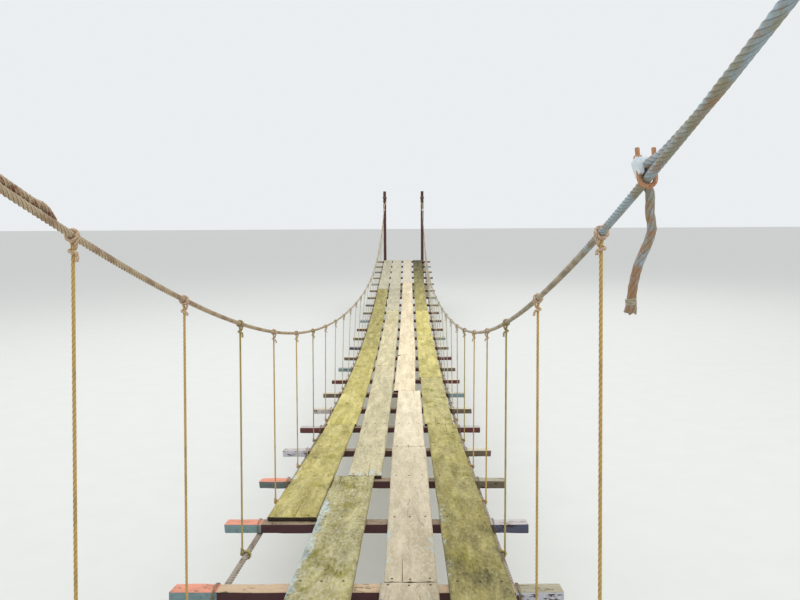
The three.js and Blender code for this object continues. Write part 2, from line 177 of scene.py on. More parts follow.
class Finish:
    """A material in the making, with short names for the nodes that its layers need."""

    def __init__(self, name, roughness=0.8, metallic=0.0):
        self.material = bpy.data.materials.new(name)
        self.material.use_nodes = True
        self.tree = self.material.node_tree
        self.shader = self.tree.nodes["Principled BSDF"]
        self.shader.inputs["Roughness"].default_value = roughness
        self.shader.inputs["Metallic"].default_value = metallic

    def add(self, kind, inputs, output=0, **settings):
        node = self.tree.nodes.new(kind)
        for key, value in settings.items():
            setattr(node, key, value)
        for key, value in inputs.items():
            if isinstance(value, bpy.types.NodeSocket):
                self.tree.links.new(value, node.inputs[key])
            else:
                node.inputs[key].default_value = value
        return node.outputs[output]

    def place(self, scale=EVEN, source="Object"):
        where = self.add("ShaderNodeTexCoord", {}, source)
        return self.add("ShaderNodeMapping", {"Vector": where, "Scale": scale})

    def noise(self, stretch, scale, detail=4.0, roughness=0.6, distortion=0.0):
        return self.add("ShaderNodeTexNoise", {
            "Vector": self.place(stretch), "Scale": scale, "Detail": detail,
            "Roughness": roughness, "Distortion": distortion,
        }, "Fac")

    def band(self, value, low, high):
        """0 below low, 1 above high, and smooth between them."""
        inputs = {"Value": value, "From Min": low, "From Max": high}
        return self.add("ShaderNodeMapRange", inputs, "Result", interpolation_type="SMOOTHSTEP")

    def math(self, operation, first, second=0.0):
        return self.add("ShaderNodeMath", {0: first, 1: second}, operation=operation)

    def times(self, first, second):
        return self.math("MULTIPLY", first, second)

    def plus(self, first, second, share=1.0):
        """The first, with a share of the second added."""
        return self.add("ShaderNodeMath", {0: second, 1: share, 2: first}, operation="MULTIPLY_ADD")

    def axis(self, which, source="Object"):
        return self.add("ShaderNodeSeparateXYZ", {"Vector": self.place(source=source)}, which)

    def value_of(self, attribute):
        return self.add("ShaderNodeAttribute", {}, "Fac", attribute_name=attribute)

    def mix(self, factor, below, above):
        """A colour between two others; each is a socket or three screen values."""
        below, above = (tint(colour) if isinstance(colour, tuple) else colour for colour in (below, above))
        return self.add("ShaderNodeMix", {"Factor": factor, 6: below, 7: above}, 2, data_type="RGBA")

    def layers(self, colour, *layers):
        """Lays tones over a colour; each has a value, the value's band, a share and the tone."""
        for value, low, high, share, tone in layers:
            colour = self.mix(self.times(self.band(value, low, high), share), colour, tone)
        return colour

    def bump(self, height, distance, strength=1.0, under=None):
        inputs = {"Height": height, "Distance": distance, "Strength": strength}
        if under is not None:
            inputs["Normal"] = under
        return self.add("ShaderNodeBump", inputs)

    def wear(self, colour, normal):
        self.tree.links.new(colour, self.shader.inputs["Base Color"])
        self.tree.links.new(normal, self.shader.inputs["Normal"])
        return self.material


print("finish helpers are ready")

# %% [markdown]
# A piece is a bmesh that is turned into an object at the origin, with its place in its mesh. One
# helper does what every piece needs: normals that point outwards, materials, the body that it
# rides on and the frame's nodes that it stands for. Smaller helpers do what several pieces share: a
# block cut into slices, softened edges, a last move.

# %% Helpers for pieces
def make_piece(name, bm, materials, nodes=(), sharp_angle=40):
    bmesh.ops.recalc_face_normals(bm, faces=bm.faces)
    mesh = bpy.data.meshes.new(name)
    bm.to_mesh(mesh)
    bm.free()
    for material in materials:
        mesh.materials.append(material)
    mesh.shade_smooth()
    mesh.set_sharp_from_angle(angle=math.radians(sharp_angle))
    piece = bpy.data.objects.new(name, mesh)
    bpy.context.scene.collection.objects.link(piece)
    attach(piece, "root")
    if nodes:
        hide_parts(*nodes)
    print(name, "has", sum(len(face.vertices) - 2 for face in mesh.polygons), "triangles")


def take_in(whole, part, material=None):
    """Adds one bmesh to another and frees it."""
    if material is not None:
        for face in part.faces:
            face.material_index = material
    carrier = bpy.data.meshes.new("carrier")
    part.to_mesh(carrier)
    part.free()
    whole.from_mesh(carrier)
    bpy.data.meshes.remove(carrier)


def block(size, *slices):
    """A cuboid round the origin; each slice is an axis and how often it is cut across."""
    bm = bmesh.new()
    bmesh.ops.create_cube(bm, size=1, matrix=Matrix.Diagonal((*size, 1)))
    for axis, cuts in slices:
        lines = [edge for edge in bm.edges
                 if abs((edge.verts[0].co - edge.verts[1].co)[axis]) > size[axis] * 0.9]
        bmesh.ops.subdivide_edges(bm, edges=lines, cuts=cuts, use_grid_fill=True)
    return bm


def soften(bm, offset, segments=2, edges=None):
    """Bevels the given edges, or else all that are sharp."""
    if edges is None:
        edges = [edge for edge in bm.edges if edge.calc_face_angle(0) > 1]
    bmesh.ops.bevel(
        bm, geom=edges, offset=offset, segments=segments, affect="EDGES", profile=0.5, material=-1)


def put(bm, place, tilt=0.0):
    bmesh.ops.rotate(bm, verts=bm.verts, cent=(0, 0, 0), matrix=Matrix.Rotation(tilt, 3, "X"))
    bmesh.ops.translate(bm, verts=bm.verts, vec=place)


print("piece helpers are ready")

# %% [markdown]
# A wire rope is six strands laid round each other. A plain cylinder with a striped bump would do
# from far away, but the handrail passes close to the eye, so its outline has to show the strands.
# A circle whose points alternate between crown and valley is swept with a screw-shaped spin: the
# spin turns the section and lifts it a little at each step. A spin of thousands of steps is slow,
# so a short stretch is spun once and set end to end, each copy turned on from the last. That gives
# a straight twisted bar, with a UV map that counts strands round the rope and metres along it.

# %% Twisted bar
CABLE_RADIUS, CABLE_LAY, CABLE_STEP = 0.01, 0.13, 0.0108
STRETCH_STEPS = 12


def spin_up(bm, height, steps, angle=0.0):
    bmesh.ops.spin(
        bm, geom=bm.verts[:] + bm.edges[:], cent=(0, 0, 0), axis=(0, 0, 1),
        dvec=(0, 0, height / steps), angle=angle, steps=steps,
        use_merge=False, use_normal_flip=False, use_duplicate=False)


def close_ends(bm, joint):
    bmesh.ops.remove_doubles(bm, verts=bm.verts, dist=joint)
    bmesh.ops.holes_fill(bm, edges=[edge for edge in bm.edges if edge.is_boundary], sides=0)


def twisted_bar(length, radius, strands, points, lay, step, depth):
    stretches = max(1, round(length / step / STRETCH_STEPS))
    reach = length / stretches
    turn = 2 * math.pi * reach / lay
    stretch = bmesh.new()
    bmesh.ops.create_circle(stretch, segments=strands * points, radius=radius)
    for i, vert in enumerate(stretch.verts):
        vert.co *= 1 - depth * abs(math.cos(math.pi * i / points)) ** 3
    spin_up(stretch, reach, STRETCH_STEPS, turn)
    carrier = bpy.data.meshes.new("carrier")
    stretch.to_mesh(carrier)
    stretch.free()
    bm = bmesh.new()
    for _ in range(stretches):
        bm.from_mesh(carrier)
        carrier.transform(Matrix.Translation((0, 0, reach)) @ Matrix.Rotation(turn, 4, "Z"))
    bpy.data.meshes.remove(carrier)
    close_ends(bm, radius * 0.02)
    rope_map = bm.loops.layers.uv.new("rope")
    for face in bm.faces:
        first = None
        for loop in face.loops:
            x, y, z = loop.vert.co
            place = math.atan2(y, x) / (2 * math.pi) - z / lay
            first = place if first is None else first
            place -= round(place - first)
            loop[rope_map].uv = (place * strands, z)
    return bm


test_bar = twisted_bar(CABLE_LAY, CABLE_RADIUS, 6, 4, CABLE_LAY, CABLE_STEP, 0.2)
print("one lay of cable has", len(test_bar.faces), "faces")
test_bar.free()

# %% [markdown]
# The straight bar is then carried onto its route. A curve object with a bevel could follow the
# same line, but it can't twist strands evenly. Here each point of the bar finds its place along
# the route and is moved into a frame that travels without turning, so that the strands stay even.
# The routes themselves are smoothed between given points, with a tangent at each of them.

# %% Routes
WIRE_LAY = 0.05


def smooth_route(points, step):
    """Rounds a route that is given by a few points."""
    points = [Vector(point) for point in points]
    headings = []
    for i, point in enumerate(points):
        before = (point - points[i - 1]).normalized() if i else Vector()
        after = (points[i + 1] - point).normalized() if i + 1 < len(points) else Vector()
        headings.append((before + after).normalized())
    route = [points[0]]
    for i in range(len(points) - 1):
        start, end = points[i], points[i + 1]
        reach = (end - start).length
        count = max(1, round(reach / step))
        for k in range(1, count + 1):
            t = k / count
            route.append(
                start * (2 * t ** 3 - 3 * t ** 2 + 1) + headings[i] * reach * (t ** 3 - 2 * t ** 2 + t)
                + end * (3 * t ** 2 - 2 * t ** 3) + headings[i + 1] * reach * (t ** 3 - t ** 2)
            )
    return route


def route_length(route):
    return sum((b - a).length for a, b in zip(route, route[1:]))


def carry(bm, route):
    """Bends a straight bar that stands on the origin so that it follows the route."""
    places = [0.0]
    for a, b in zip(route, route[1:]):
        places.append(places[-1] + (b - a).length)
    last = len(route) - 1
    headings = [(route[min(i + 1, last)] - route[max(i - 1, 0)]).normalized() for i in range(last + 1)]
    side = headings[0].orthogonal().normalized()
    frames = []
    for ahead in headings:
        side = (side - ahead * side.dot(ahead)).normalized()
        frames.append((side, ahead.cross(side)))
    for vert in bm.verts:
        i = min(max(bisect_right(places, vert.co.z) - 1, 0), last - 1)
        t = (vert.co.z - places[i]) / (places[i + 1] - places[i])
        across, up = (frames[i][k].lerp(frames[i + 1][k], t) for k in (0, 1))
        vert.co = route[i].lerp(route[i + 1], t) + across * vert.co.x + up * vert.co.y


def lay_rope(whole, route, radius, strands, points, lay, step, depth=0.2, taper=0.0, material=None):
    """Lays a rope along a route. Its last stretch can taper, as where strands have come loose."""
    length = route_length(route)
    bar = twisted_bar(length, radius, strands, points, lay, step, depth)
    if taper:
        for vert in bar.verts:
            vert.co.xy *= blend(0.3, 1, clamp((length - vert.co.z) / taper))
    carry(bar, route)
    take_in(whole, bar, material)


def lay_wire(whole, route, radius, step, material=None):
    lay_rope(whole, route, radius, 3, 2, WIRE_LAY, step, material=material)


print("route helpers are ready")

# %% [markdown]
# Ropes are wound round other ropes and looped round square posts. Both kinds of turn are lists of
# points, taken round an axis or round two corners, and so they can be joined to any other route.
# A cable's loop passes the side of its post that looks away from the span, a backstay's the other.

# %% Turns and loops
ENDS = {"near": -1, "far": 1}
GAP = 0.0003


def beside(start, *steps):
    """The points that lie the given steps from a start."""
    return [start + Vector(step) for step in steps]


def turns_round(centre, axis, start, radius, pitch, turns, steps=10):
    """Points of a rope that winds round an axis, from the direction start."""
    axis = axis.normalized()
    start = (start - axis * start.dot(axis)).normalized()
    other = axis.cross(start)
    points = []
    for k in range(round(turns * steps) + 1):
        angle = 2 * math.pi * k / steps
        out = start * math.cos(angle) + other * math.sin(angle)
        points.append(centre + out * radius + axis * pitch * angle / (2 * math.pi))
    return points


def places_between(low, high, step=0.12):
    count = max(1, round((high - low) / step))
    return [blend(low, high, k / count) for k in range(count + 1)]


def post_across(end, side):
    return SIDES[side] * cable_width(ENDS[end] * HALF_SPAN)


def turn_round_post(end, side, height, radius, start, way):
    """Half a turn of rope round a square post, from its side start, past its side way."""
    half, offset = POST_SIZE / 2, radius + 2 * GAP
    middle = Vector((post_across(end, side), ENDS[end] * POST_PLACE, height))
    quarter = [math.pi / 8 * k for k in range(5)]
    steps = [(start * (half + offset), -way * half, 0)]
    for where, angles in ((start, quarter), (-start, quarter[::-1])):
        steps += [(where * (half + offset * math.cos(angle)), way * (half + offset * math.sin(angle)), 0)
                  for angle in angles]
    return beside(middle, *steps, (-start * (half + offset), -way * half, 0))


print("a post stands", round(post_across("near", "right"), 3), "m beside the middle")

# %% [markdown]
# Old wire rope is grey where hands rub it, rusty in patches, and dark in the valleys between its
# strands. The UV map tells where a valley is: the strand count is a whole number there. Fine
# wires run slantwise over each strand, so a sine of both UV directions gives their ridges. Two
# values that a rope's points can carry, rusting and ageing, bring more of either to some places.
# A knot's tone is laid over the first stretch of a rope, which is where a hanger is tied. The
# ropes of the bridge differ only in colours and shares, so a table lists them.

# %% Finish of wire rope
WIRES_AROUND, WIRES_ALONG = 31.4, 420


def wire_rope(
        name, crown, patch, rust, valley, patch_share, rust_share, metallic, roughness,
        knot=None, aged=None, valley_depth=0.85):
    f = Finish(f"{name}_rope", roughness, metallic)
    around, length = f.axis(0, "UV"), f.axis(1, "UV")
    crown_mask = f.band(f.math("PINGPONG", around, 0.5), 0.0, 0.2)
    wires = f.math("SINE", f.plus(f.times(around, WIRES_AROUND), length, WIRES_ALONG))
    blotch = f.noise((1, 0.35, 0.5), 26, 5, 0.65)
    speck = f.noise(EVEN, 150, 3, 0.7)
    broad_rust = f.times(f.noise((1, 0.4, 0.6), 16, 6, 0.7), 0.6)
    all_rust = f.plus(broad_rust, f.noise((1, 0.5, 0.5), 90, 4, 0.7), 0.4)
    more_rust = f.plus(all_rust, f.value_of("rusting"), 0.12)
    colour = f.layers(
        crown, (blotch, 0.95 - patch_share, 1.07 - patch_share, 1, patch),
        (more_rust, 0.95 - rust_share, 1.09 - rust_share, 1, rust))
    if aged:
        tone = f.mix(f.band(blotch, 0.42, 0.58), aged, f.mix(0.5, aged, valley))
        colour = f.layers(colour, (f.plus(blotch, f.value_of("ageing")), 0.9, 1.1, 0.85, tone))
    if knot:
        colour = f.layers(colour, (f.plus(length, blotch, 0.1), 0.31, 0.23, 0.8, knot))
    colour = f.layers(colour, (speck, 0.52, 0.78, 0.32, valley), (wires, -0.3, -1.0, 0.22, valley))
    colour = f.mix(crown_mask, f.mix(valley_depth, colour, valley), colour)
    return f.wear(colour, f.bump(speck, 0.0003, 0.4, f.bump(wires, 0.0003, 0.3)))


ropes = {name: wire_rope(name, *values) for name, *values in (
    # name, crown, patch, rust, valley, shares of patch and rust, metallic, roughness, then maybe
    # the tone of knots, the tone of age and the depth of a valley
    ("grey_blue", (168, 188, 199), (160, 158, 138), (168, 128, 90), (88, 84, 78), 0.50, 0.45, 0.1, 0.6,
     None, (196, 176, 144), 0.6),
    ("rusted", (212, 192, 160), (186, 158, 130), (146, 92, 72), (58, 38, 28), 0.46, 0.36, 0.08, 0.75),
    ("mottled", (178, 166, 150), (136, 114, 94), (120, 84, 64), (56, 44, 36), 0.46, 0.36, 0.08, 0.8),
    ("stay", (156, 138, 110), (128, 108, 84), (122, 80, 52), (58, 44, 32), 0.42, 0.35, 0.1, 0.75),
    ("tan", (210, 176, 104), (188, 160, 98), (196, 136, 70), (140, 104, 58), 0.45, 0.36, 0.0, 0.85,
     (214, 190, 172)),
    ("olive", (184, 166, 98), (156, 144, 86), (168, 122, 60), (100, 86, 48), 0.45, 0.34, 0.0, 0.85,
     (176, 154, 118)),
    ("pale", (206, 198, 172), (176, 166, 138), (178, 140, 96), (120, 108, 84), 0.45, 0.34, 0.0, 0.85),
)}
print("rope finishes:", ", ".join(ropes))

# %% [markdown]
# Each handrail cable runs from tower to tower. At a tower it goes round the post and comes back
# on top of itself, where a clip holds it. The near right end has a tail that hangs down from its
# clip, with a frayed tip and wire bound round it a little above. The other ends have a tail that
# lies on the cable; those of the left cable thin out where their strands are loose. The strand
# that comes back is given by its own few points, because it leans aside before the near right
# clip and lies straight on the cable at the others.

# %% Routes of the handrail cables
EYE_OF_LOOP = 0.42
RETURN_LIFT = 2 * CABLE_RADIUS - 0.0015
CLIP_REACH = 0.034
CLIP_PLACES = {("near", "left"): 0.8, ("near", "right"): 1.46, ("far", "left"): 0.8, ("far", "right"): 0.8}
TAIL_PLACES = {("near", "left"): 1.75, ("far", "left"): 1.3, ("far", "right"): 1.3}
LEAN_ANGLE, LEAN_LENGTH = math.radians(42), 0.3
HANGING_TAIL = (
    (0.022, 0, -0.010), (0.022, 0, -0.050), (0.028, 0, -0.086), (0.021, 0, -0.111), (0.003, 0, -0.153),
    (-0.009, 0, -0.205), (-0.013, 0, -0.259))
LOOSE_TAIL = ((0.11, 0.0), (0.075, 0.0055), (0.045, 0.001), (0.0, -0.0055))


def hanging_tail():
    corner = CLIP_PLACES["near", "right"] + CLIP_REACH + 2 * CABLE_RADIUS - POST_PLACE
    return beside(cable_point("right", corner), *HANGING_TAIL)


def return_strand(end, side, turn):
    """The strand that comes back from the loop round the post and lies on the cable."""
    way, hangs = ENDS[end], (end, side) not in TAIL_PLACES
    last = POST_PLACE - (CLIP_PLACES[end, side] + CLIP_REACH if hangs else TAIL_PLACES[end, side])
    points = turn[-2:]
    for place in places_between(last, POST_PLACE - EYE_OF_LOOP)[::-1]:
        angle = LEAN_ANGLE * clamp((place - last) / LEAN_LENGTH) if hangs else 0
        offset = Vector((SIDES[side] * math.sin(angle), 0, math.cos(angle))) * RETURN_LIFT
        points.append(cable_point(side, way * place) + offset)
    if hangs:
        return points + hanging_tail()
    loose = [cable_point(side, way * (last + from_end), RETURN_LIFT + lift) for from_end, lift in LOOSE_TAIL]
    return points[:-1] + loose


print("the hanging tail is", round(route_length(hanging_tail()), 3), "m long")

# %% [markdown]
# The weathering differs from place to place: the hanging tail is rustier towards its tip, the
# right cable is aged on its upper side and further away all round, and the near left tail is
# rusty below. So the points carry these values, and their normals tell the sides apart.
# The frayed tip is made by moving points of the finished rope outwards, which is simpler than
# modelling loose strands.

# %% Handrail cables
ROUNDING = 0.02
FRAY, FRAY_REACH = 0.022, 0.03
WHIPPING_RADIUS, WHIPPING_PITCH, WHIPPING_TURNS = 0.0016, 0.0034, 4


def weather(whole, side):
    """Lets each point of a handrail cable carry how rusty and how aged it is."""
    bmesh.ops.recalc_face_normals(whole, faces=whole.faces)
    rusting, ageing = (whole.verts.layers.float.new(name) for name in ("rusting", "ageing"))
    for vert in whole.verts:
        y, up = vert.co.y, vert.normal.z
        above = vert.co.z - cable_line(y)
        if side == "right":
            vert[rusting] = steps_up(-above, -0.02, 0.15) if y < 0 else 0.0
            vert[ageing] = max(steps_up(y, -11.0, -9.5), 0.44 * steps_up(up, -0.3, 0.8))
        else:
            on_return = steps_up(above, 0.005, 0.009) * steps_up(-y, 10.42, 10.5)
            vert[rusting] = on_return * (0.1 + 1.3 * steps_up(-up, -0.7, 0.3))


def fray(whole, tip):
    for vert in whole.verts:
        if (vert.co - tip).length < FRAY_REACH:
            frayed = steps_up(tip.z + FRAY - vert.co.z, 0, FRAY)
            outward = vert.co - tip
            outward.z = 0
            vert.co += outward * frayed * (0.35 + 0.5 * noise.noise(vert.co * 160))
            vert.co.z -= 0.006 * frayed * noise.noise(vert.co * 220)
    whipping = turns_round(
        tip + Vector((0, 0, FRAY_REACH)), Vector((0.08, 0, -1)), Vector((1, 0, 0)),
        CABLE_RADIUS + 0.0012, WHIPPING_PITCH, WHIPPING_TURNS)
    lay_wire(whole, whipping, WHIPPING_RADIUS, 0.006, material=1)


for side, finish, depth, taper in (("left", "rusted", 0.26, 0.05), ("right", "grey_blue", 0.12, 0.0)):
    run = [cable_point(side, y) for y in places_between(EYE_OF_LOOP - POST_PLACE, POST_PLACE - EYE_OF_LOOP)]
    tails = []
    for end, way in ENDS.items():
        turn = turn_round_post(end, side, cable_line(POST_PLACE), CABLE_RADIUS, -SIDES[side], way)
        tails.append(return_strand(end, side, turn))
        run = turn[::-1] + run if end == "near" else run + turn
    whole = bmesh.new()
    for points in (run, *tails):
        lay_rope(
            whole, smooth_route(points, ROUNDING), CABLE_RADIUS, 6, 4, CABLE_LAY, CABLE_STEP, depth,
            0.0 if points is run else taper)
    weather(whole, side)
    if side == "right":
        fray(whole, hanging_tail()[-1])
    make_piece(f"handrail_cable_{side}", whole, [ropes[finish], ropes["pale"]],
               [f"handrail_cable_and_hangers_{side}"])

# %% [markdown]
# The lower cables run under the crossbeams, straight from one to the next, and end in a loop
# round the foot of each tower. They are thicker and coarser than the handrail, and are seen from
# further away, so their section has fewer points.

# %% Lower cables
LOWER_PLACE, LOWER_RADIUS = 0.62, 0.0145
BEAM_LENGTH, BEAM_DEPTH, BEAM_HEIGHT = 1.6, 0.1, 0.05
LOWER_LAY, LOWER_STEP = 0.19, 0.019
LOWER_DROP = BEAM_HEIGHT + 0.0004 + LOWER_RADIUS


def lower_centre(side, index):
    """The centre of a lower cable where it passes under a crossbeam."""
    y = beam_place(index)
    tilt = deck_slope(y)
    place = LOWER_PLACE
    if index in (0, BAYS):
        place = cable_width(y) + math.copysign(POST_SIZE / 2 + LOWER_RADIUS + 2 * GAP, y)
    return Vector((
        SIDES[side] * place, y + LOWER_DROP * math.sin(tilt), deck_line(y) - LOWER_DROP * math.cos(tilt)))


def lower_point(side, y):
    index = math.floor((y + HALF_SPAN) / BAY)
    before, after = lower_centre(side, index), lower_centre(side, index + 1)
    return before.lerp(after, (y - before.y) / (after.y - before.y))


for side, sign in SIDES.items():
    run = [lower_centre(side, index) for index in range(BAYS + 1)]
    tails = []
    for end, way in ENDS.items():
        turn = turn_round_post(end, side, lower_centre(side, 0).z, LOWER_RADIUS, sign * way, way)
        back = lower_point(side, way * (POST_PLACE - EYE_OF_LOOP))
        tails.append(turn[-2:] + beside(back, (0, 0, 0.001 - 2 * LOWER_RADIUS)))
        run = turn[::-1] + run if end == "near" else run + turn
    whole = bmesh.new()
    for points in (run, *tails):
        lay_rope(whole, smooth_route(points, 0.03), LOWER_RADIUS, 6, 3, LOWER_LAY, LOWER_STEP)
    make_piece(
        f"lower_cable_{side}_strands", whole, [ropes["mottled"]], [f"lower_cable_{side}"])

# %% [markdown]
# A hanger is a thin three-strand rope. At the top it goes round the handrail cable, crosses its
# own standing part and ends in a short tail. At the foot it is tied round the lower cable, a
# little before the crossbeam. All this is one route for each hanger, so one sweep makes rope,
# knots and tail together. There are many, so the section has only six points, or nine near the
# eye. The near hangers are tan and olive, the far ones pale, and the first on the right is missing.

# %% Hangers
HANGER_RADIUS = 0.005
HANGER_TOP_LEAD, HANGER_FOOT_LEAD, HANGER_LAY = 0.2, 0.36, 0.044
WRAP_PITCH, TOP_TURNS, FOOT_TURNS = 0.0105, 1.5, 2.1
KNOT_DROP, RING = 0.040, HANGER_RADIUS * 1.9
MISSING_HANGER = ("right", 1)


def hanger_route(side, index, step):
    sign = SIDES[side]
    outward = Vector((sign, 0, 0))
    y, foot_y = beam_place(index) - HANGER_TOP_LEAD, beam_place(index) - HANGER_FOOT_LEAD
    top, foot = cable_point(side, y), lower_point(side, foot_y)
    cable_axis, lower_axis = heading(cable_slope(y)), heading(deck_slope(foot_y))
    wrap, grip = CABLE_RADIUS + HANGER_RADIUS * 0.9, LOWER_RADIUS + HANGER_RADIUS * 0.9
    rng = random.Random(100 * index + (side == "right"))
    knot = top + Vector((0, 0, -KNOT_DROP - rng.uniform(0, 0.006)))
    points = beside(
        knot, (-sign * rng.uniform(0.010, 0.018), -0.006, -rng.uniform(0.014, 0.030)),
        (-sign * RING, -0.003, -0.004), (0, -RING, -0.001), (sign * RING, 0, 0.002),
        (0, RING, 0.006), (-sign * RING * 0.8, 0, 0.012))
    points += turns_round(
        top - cable_axis * 0.008, cable_axis * -sign, -outward, wrap, -WRAP_PITCH * sign, TOP_TURNS)
    stand_top = knot + Vector((0, 0, -0.012))
    stand_foot = foot + outward * grip + Vector((0, 0, 0.040))
    down = (stand_foot - stand_top).normalized() * 0.03
    points += [knot + Vector((0, 0, 0.012)), stand_top, stand_top + down, stand_foot - down, stand_foot]
    points += turns_round(foot - lower_axis * 0.006, lower_axis, outward, grip, WRAP_PITCH, FOOT_TURNS)
    points += beside(
        points[-1], (sign * 0.008, 0.002, 0.014), (sign * 0.010, -0.010, 0.020),
        (sign * 0.004, -0.020, 0.012))
    return smooth_route(points, step)


def hanger_tone(index):
    if index >= 9:
        return "pale"
    return "olive" if index % 3 == 1 else "tan"


for side in SIDES:
    for tone in ("tan", "olive", "pale"):
        whole = bmesh.new()
        for index in range(1, BAYS):
            if hanger_tone(index) == tone and (side, index) != MISSING_HANGER:
                step, points = (0.0075, 2) if index > 4 else (0.004, 3)
                route = hanger_route(side, index, step * 0.8)
                lay_rope(whole, route, HANGER_RADIUS, 3, points, HANGER_LAY, step)
        make_piece(f"hangers_{side}_{tone}", whole, [ropes[tone]],
                   [f"handrail_cable_and_hangers_{side}"])

# %% [markdown]
# The deck is four rows of sawn boards. Random boards would be less work, but no two joints of the
# real deck lie alike, so the list gives the edges of each board at both of its ends, as the joints
# show them, how its timber has weathered, and the painted sunlight and painted shade at its ends.
# Old paint along some edges, a broken corner and the splits that start at the ends of boards are
# listed too.

# %% List of boards
BOARDS = (
    # row, first beam, last beam, edges in mm at both ends, timber, greyness, painted light at both ends
    # (above zero painted sunlight, below zero painted shade)
    (1, 4, 7, (-581, -320), (-556, -312), "mossy", 0.1, (0.4, 0.7)),
    (1, 7, 12.5, (-570, -299), (-588, -322), "mossy", 0.0, (1.2, 0.7)),
    (1, 12.5, 20, (-588, -322), (-596, -352), "mossy", 0.1, (0.4, -0.3)),
    (1, 20, 25, (-594, -350), (-590, -350), "beige", 0.5, (0.1, 0.0)),
    (2, 0, 5, (-312, -52), (-308, -54), "mossy", 0.5, (-0.65, 0.15)),
    (2, 5, 11, (-224, -7), (-292, -26), "beige", 0.2, (0.3, 0.7)),
    (2, 11, 17, (-298, -32), (-306, -44), "beige", 0.1, (0.8, 0.75)),
    (2, 17, 20, (-310, -46), (-318, -50), "beige", 0.5, (0.3, -0.1)),
    (2, 20, 25, (-318, -50), (-322, -60), "beige", 0.6, (0.2, 0.2)),
    (3, 0, 3, (56, 294), (58, 293), "pale", 0.2, (-0.55, -0.55)),
    (3, 3, 6, (72, 290), (43, 300), "pale", 0.25, (-0.35, 0.15)),
    (3, 6, 9, (44, 293), (48, 296), "pale", 0.3, (0.5, 0.9)),
    (3, 9, 12, (-6, 239), (2, 262), "pale", 0.1, (0.85, 0.9)),
    (3, 12, 21, (2, 264), (2, 242), "pale", 0.0, (0.9, 0.5)),
    (3, 21, 25, (-4, 238), (-10, 234), "pale", 0.6, (0.2, 0.1)),
    (4, 0, 7, (338, 592), (334, 588), "mossy", 0.0, (-1.5, 0.1)),
    (4, 7, 10, (308, 566), (314, 580), "mossy", 0.3, (0.5, 0.7)),
    (4, 10, 17, (298, 584), (300, 562), "mossy", 0.1, (1.0, 1.9)),
    (4, 17, 25, (292, 552), (286, 546), "mossy", 0.1, (0.5, -2.0)),
)
PAINTED_EDGES = (
    # row, side, from beam, to beam, how much: old pale paint left along one edge of a row
    (1, -1, 3.9, 4.3, 0.3), (2, -1, 2.2, 4.5, 0.75), (3, -1, 3.1, 3.9, 0.6), (3, 1, 3.2, 3.8, 0.45),
    (4, -1, 2.0, 4.6, 0.35), (1, -1, 4.6, 5.4, 0.3), (2, -1, 0, 2.2, 0.5),
)
PAINTED_END, BROKEN_CORNER = (2, 5), (3, 9)
SPLITS = (
    # row, first beam of the board, share of its width, end (0 first, 1 last), length in m
    (2, 0, 0.18, 1, 0.30), (3, 0, 0.46, 0, 0.5), (3, 3, 0.34, 0, 0.34), (4, 0, 0.62, 1, 0.45),
    (4, 0, 0.30, 0, 0.6), (1, 4, 0.55, 0, 0.42), (2, 5, 0.6, 0, 0.35), (3, 6, 0.7, 1, 0.4),
    (3, 9, 0.3, 1, 0.3), (4, 7, 0.4, 0, 0.5), (2, 0, 0.66, 0, 0.7), (1, 7, 0.3, 0, 0.45),
)
TIMBERS = ("mossy", "beige", "pale")
print(len(BOARDS), "boards and", len(SPLITS), "splits are listed")

# %% [markdown]
# Plain boxes with a wood pattern would look like new planking, because the boards of such a deck
# are cupped, a little skewed, worn round at the edges and split at the ends. So each board is a
# block that is cut along and across and bevelled. Each of its points has a share of the width and
# of the length, and one function turns these two shares into a place on the curve of the deck.

# %% Form of a board
PLANK_THICKNESS = 0.025
JOINT_GAP, EDGE, CUP, WAVE = 0.006, 0.0035, 0.0028, 0.0009
SPLIT_WIDTH, SPLIT_DEPTH = 0.0022, 0.011


def wobble(*place):
    """Smooth noise between -1 and 1."""
    return noise.noise(Vector(place))


def on_board(entry, share, t, height):
    """The place of a point of a board: share across it, t along it, height above its underside."""
    row, first, last, start, end = entry[:5]
    x = blend(*(blend(start[k], end[k], t) / 1000 for k in (0, 1)), share)
    y = blend(beam_place(first) + JOINT_GAP / 2, beam_place(last) - JOINT_GAP / 2, t)
    edge = max(0, abs(2 * share - 1) - 0.55) / 0.45
    cup = CUP * (0.4 + 0.6 * wobble(row * 2.92 + first * 0.68, y * 0.64, 0))
    wave = WAVE * (1 + wobble(row * 3.1, y * 2.4, share * 2))
    z = height + cup * (2 * share - 1) ** 2 + wave
    on_top = height > PLANK_THICKNESS / 2
    if on_top:
        z -= 0.007 * max(0, wobble(row * 5 + share * 3, y * 5, first) + 0.15) * edge ** 2
    x += EDGE * edge * wobble(share * 4 + row, y * 3.2, 5)
    end_share = max(0, 1 - min(t, 1 - t) * (last - first) * BAY / 0.05)
    y += 0.007 * end_share * wobble(x * 22, row + first, 9)
    if end_share and on_top:
        z -= 0.003 * end_share * (1 + wobble(x * 30, row * 2, first))
    return Vector((x, y, deck_line(y) + GAP + z))


def paint_left(entry, share, t):
    """How much old paint a point of a board still has."""
    row, first, last = entry[:3]
    place = blend(first, last, t)
    amount = 0.0
    for painted_row, side, low, high, most in PAINTED_EDGES:
        if painted_row == row and low <= place <= high:
            fade = min(1, (place - low) / 0.2, (high - place) / 0.2)
            amount = max(amount, most * fade * steps_up(side * (2 * share - 1), 0.45, 1.0))
    if (row, first) == PAINTED_END:
        amount = max(amount, 0.45 * (1 - steps_up(t * (last - first) * BAY, 0.05, 0.30)))
    return amount


def cut_through(bm, place, normal, joint, **settings):
    return bmesh.ops.bisect_plane(
        bm, geom=bm.verts[:] + bm.edges[:] + bm.faces[:], dist=joint, plane_co=place, plane_no=normal,
        **settings)


